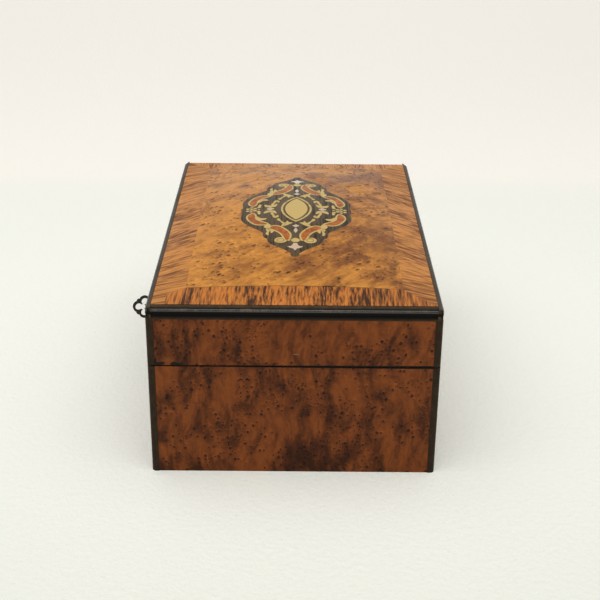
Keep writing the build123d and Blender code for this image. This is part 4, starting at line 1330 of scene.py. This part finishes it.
class BOX_OT_hinges(bpy.types.Operator):
    """Brass hinges with softened edges"""
    bl_idname = "box.hinges"
    bl_label = "Hinges"

    def execute(self, context):
        finish = brass_finish(context.scene.box_metals, "hinge_brass", 0.7, 0.34)
        for side in ("left", "right"):
            for part, body, edge in (("body_leaf", "case", None), ("lid_leaf", "lid", None),
                                     ("pin", "case", 0.08)):
                node = "hinge_" + side + "_" + part
                fitting("brass_" + node, node, finish, "lock_brass", body, edge)
        return {"FINISHED"}


class BOX_OT_lock(bpy.types.Operator):
    """Lock, key, strike plate and keyhole liner"""
    bl_idname = "box.lock"
    bl_label = "Lock and key"

    def execute(self, context):
        metals = context.scene.box_metals
        brass = (brass_finish(metals, "lock_brass", 0.8, 0.36), "lock_brass")
        iron = (iron_finish(metals), "dark_steel")
        fitting("lock_body", "lock_case", *brass, "case")
        fitting("lock_tray", "lock_cover_plate", *brass, "case")
        fitting("keyhole_liner", "escutcheon", *brass, "case", 0.1)
        fitting("strike", "strike_plate", *brass, "lid")
        fitting("bolt", "lock_bolt", *iron, "lock_bolt")
        fitting("bolt_spring", "lock_spring", *iron, "case", 0.05)
        fitting("drill_pin", "lock_drill_pin", *iron, "case", 0.08)
        fitting("trefoil_key", "key", *iron, "key", 0.45)
        return {"FINISHED"}


class BOX_OT_screws(bpy.types.Operator):
    """Slotted screws of hinges, lock and strike plate"""
    bl_idname = "box.screws"
    bl_label = "Screws"

    def execute(self, context):
        finish = iron_finish(context.scene.box_metals)
        rows = [("hinge_screws_case", "body_hinge_screws", "case"),
                ("hinge_screws_lid", "lid_hinge_screws", "lid"),
                ("strike_plate_screws", "strike_screws", "lid"),
                ("lock_plate_screws", "lock_screws", "case")]
        for seed, (name, node, body) in enumerate(rows, 3):
            screw_set(name, node, body, finish, seed)
        return {"FINISHED"}


class BOX_OT_linings(bpy.types.Operator):
    """Silk linings of case and lid"""
    bl_idname = "box.linings"
    bl_label = "Linings"

    def execute(self, context):
        finish = silk_finish(context.scene.box_metals)
        pad("floor_pad", "body_floor_lining", finish, "case", 1, 0.004)
        pad("lid_pad", "lid_top_lining", finish, "lid", -1, 0.004)
        fitting("wall_silk_case", "body_wall_lining", finish, "lining", "case", 0.35)
        fitting("wall_silk_lid", "lid_wall_lining", finish, "lining", "lid", 0.35)
        return {"FINISHED"}


# The stage, in metres and radians, and the sensor in millimetres
FLOOR_RADIUS = 9
FLOOR_SIDES = 64
LAMP_PLACE = (0.3, -0.15, 1.5)
LAMP_WIDTH = 2.3
SENSOR_WIDTH = 36.0
CAMERA_PLACE = (0.75608, 0.000594, 0.40297)
CAMERA_PITCH = 0.4312
CAMERA_YAW = 0.0041
CAMERA_ROLL = 0.0099


class BOX_OT_stage(bpy.types.Operator):
    """Floor, lamp, room light and camera"""
    bl_idname = "box.stage"
    bl_label = "Stage"

    def execute(self, context):
        scene = context.scene
        scene.view_settings.view_transform = "Standard"
        mesh = bpy.data.meshes.new("studio_floor")
        rim = [(*point, 0) for point in dot(0, 0, FLOOR_RADIUS, FLOOR_SIDES)]
        mesh.from_pydata(rim, [], [tuple(range(FLOOR_SIDES))])
        mesh.materials.append(floor_finish(scene.box_studio))
        floor = bpy.data.objects.new("studio_floor", mesh)
        scene.collection.objects.link(floor)
        self.lamp(scene)
        self.room(scene)
        self.camera(scene)
        return {"FINISHED"}

    def lamp(self, scene):
        """A broad soft lamp that points at the box."""
        data = bpy.data.lights.new("overhead", "AREA")
        data.shape = "SQUARE"
        data.size = LAMP_WIDTH
        data.energy = scene.box_studio.key_power
        lamp = bpy.data.objects.new("overhead", data)
        lamp.location = LAMP_PLACE
        lamp.rotation_euler = (-Vector(LAMP_PLACE)).to_track_quat("-Z", "Y").to_euler()
        scene.collection.objects.link(lamp)

    def room(self, scene):
        """Pale to the eye and in reflections, darker behind the camera, dimmer as a light."""
        studio = scene.box_studio
        world = bpy.data.worlds.new("studio_room")
        world.use_nodes = True
        tree = world.node_tree
        tree.nodes.clear()
        x, _, z = parted(put(tree, "ShaderNodeTexCoord")["Generated"])
        rays = put(tree, "ShaderNodeLightPath")
        eye = rays["Is Camera Ray"]
        mirror = most([rays["Is Glossy Ray"], rays["Is Transmission Ray"]])
        shown = mirror * fade(x, -0.1, 0.6, 1.0, 0.14) * fade(z, 0.12, 0.42, 1.0, 0.3)
        soft = fade(x, -1.0, 1.0, 0.5 * studio.fill, 1.5 * studio.fill)
        level = shown + eye + (1.0 - most([mirror, eye])) * soft
        glow = put(tree, "ShaderNodeBackground", {"Color": studio.backdrop, "Strength": level})
        put(tree, "ShaderNodeOutputWorld", {"Surface": glow[0]})
        scene.world = world

    def camera(self, scene):
        """The photograph's place, pitch, slight yaw and roll."""
        data = bpy.data.cameras.new("camera")
        data.lens = scene.box_studio.lens
        data.sensor_width = SENSOR_WIDTH
        data.clip_start = 0.01
        camera = bpy.data.objects.new("camera", data)
        flat = math.cos(CAMERA_PITCH)
        forward = Vector((-math.cos(CAMERA_YAW) * flat, math.sin(CAMERA_YAW) * flat,
                          -math.sin(CAMERA_PITCH)))
        level = forward.cross(Vector((0, 0, 1))).normalized()
        upright = level.cross(forward)
        right = math.cos(CAMERA_ROLL) * level + math.sin(CAMERA_ROLL) * upright
        above = right.cross(forward)
        camera.rotation_euler = Matrix((right, above, -forward)).transposed().to_euler()
        camera.location = CAMERA_PLACE
        scene.collection.objects.link(camera)
        scene.camera = camera


class BOX_PT_panel(bpy.types.Panel):
    """Lists the box's steps and settings"""
    bl_idname = "BOX_PT_panel"
    bl_label = "Marquetry box"
    bl_space_type = "VIEW_3D"
    bl_region_type = "UI"
    bl_category = "Box"

    def draw(self, context):
        for step in STEPS:
            self.layout.operator(step.bl_idname)
        for name in SETTINGS:
            column = self.layout.column(heading=name)
            settings = getattr(context.scene, name)
            for label in settings.bl_rna.properties.keys():
                if label not in ("rna_type", "name"):
                    column.prop(settings, label)


STEPS = (BOX_OT_stage, BOX_OT_boards, BOX_OT_walls, BOX_OT_top, BOX_OT_strips, BOX_OT_hinges,
         BOX_OT_lock, BOX_OT_screws, BOX_OT_linings)
SETTINGS = {"box_woods": BoxWoods, "box_metals": BoxMetals, "box_sizes": BoxSizes,
            "box_studio": BoxStudio}


def register():
    """Adds the settings, steps and panel."""
    for kind in (*SETTINGS.values(), *STEPS, BOX_PT_panel):
        bpy.utils.register_class(kind)
    for name, kind in SETTINGS.items():
        setattr(bpy.types.Scene, name, PointerProperty(type=kind))


def unregister():
    """Takes them away again."""
    for name in SETTINGS:
        delattr(bpy.types.Scene, name)
    for kind in (BOX_PT_panel, *STEPS[::-1], *SETTINGS.values()):
        bpy.utils.unregister_class(kind)


def main():
    """Dresses the box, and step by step."""
    register()
    for step in STEPS:
        area_name, action = step.bl_idname.split(".")
        getattr(getattr(bpy.ops, area_name), action)()


if __name__ == "__main__":
    main()
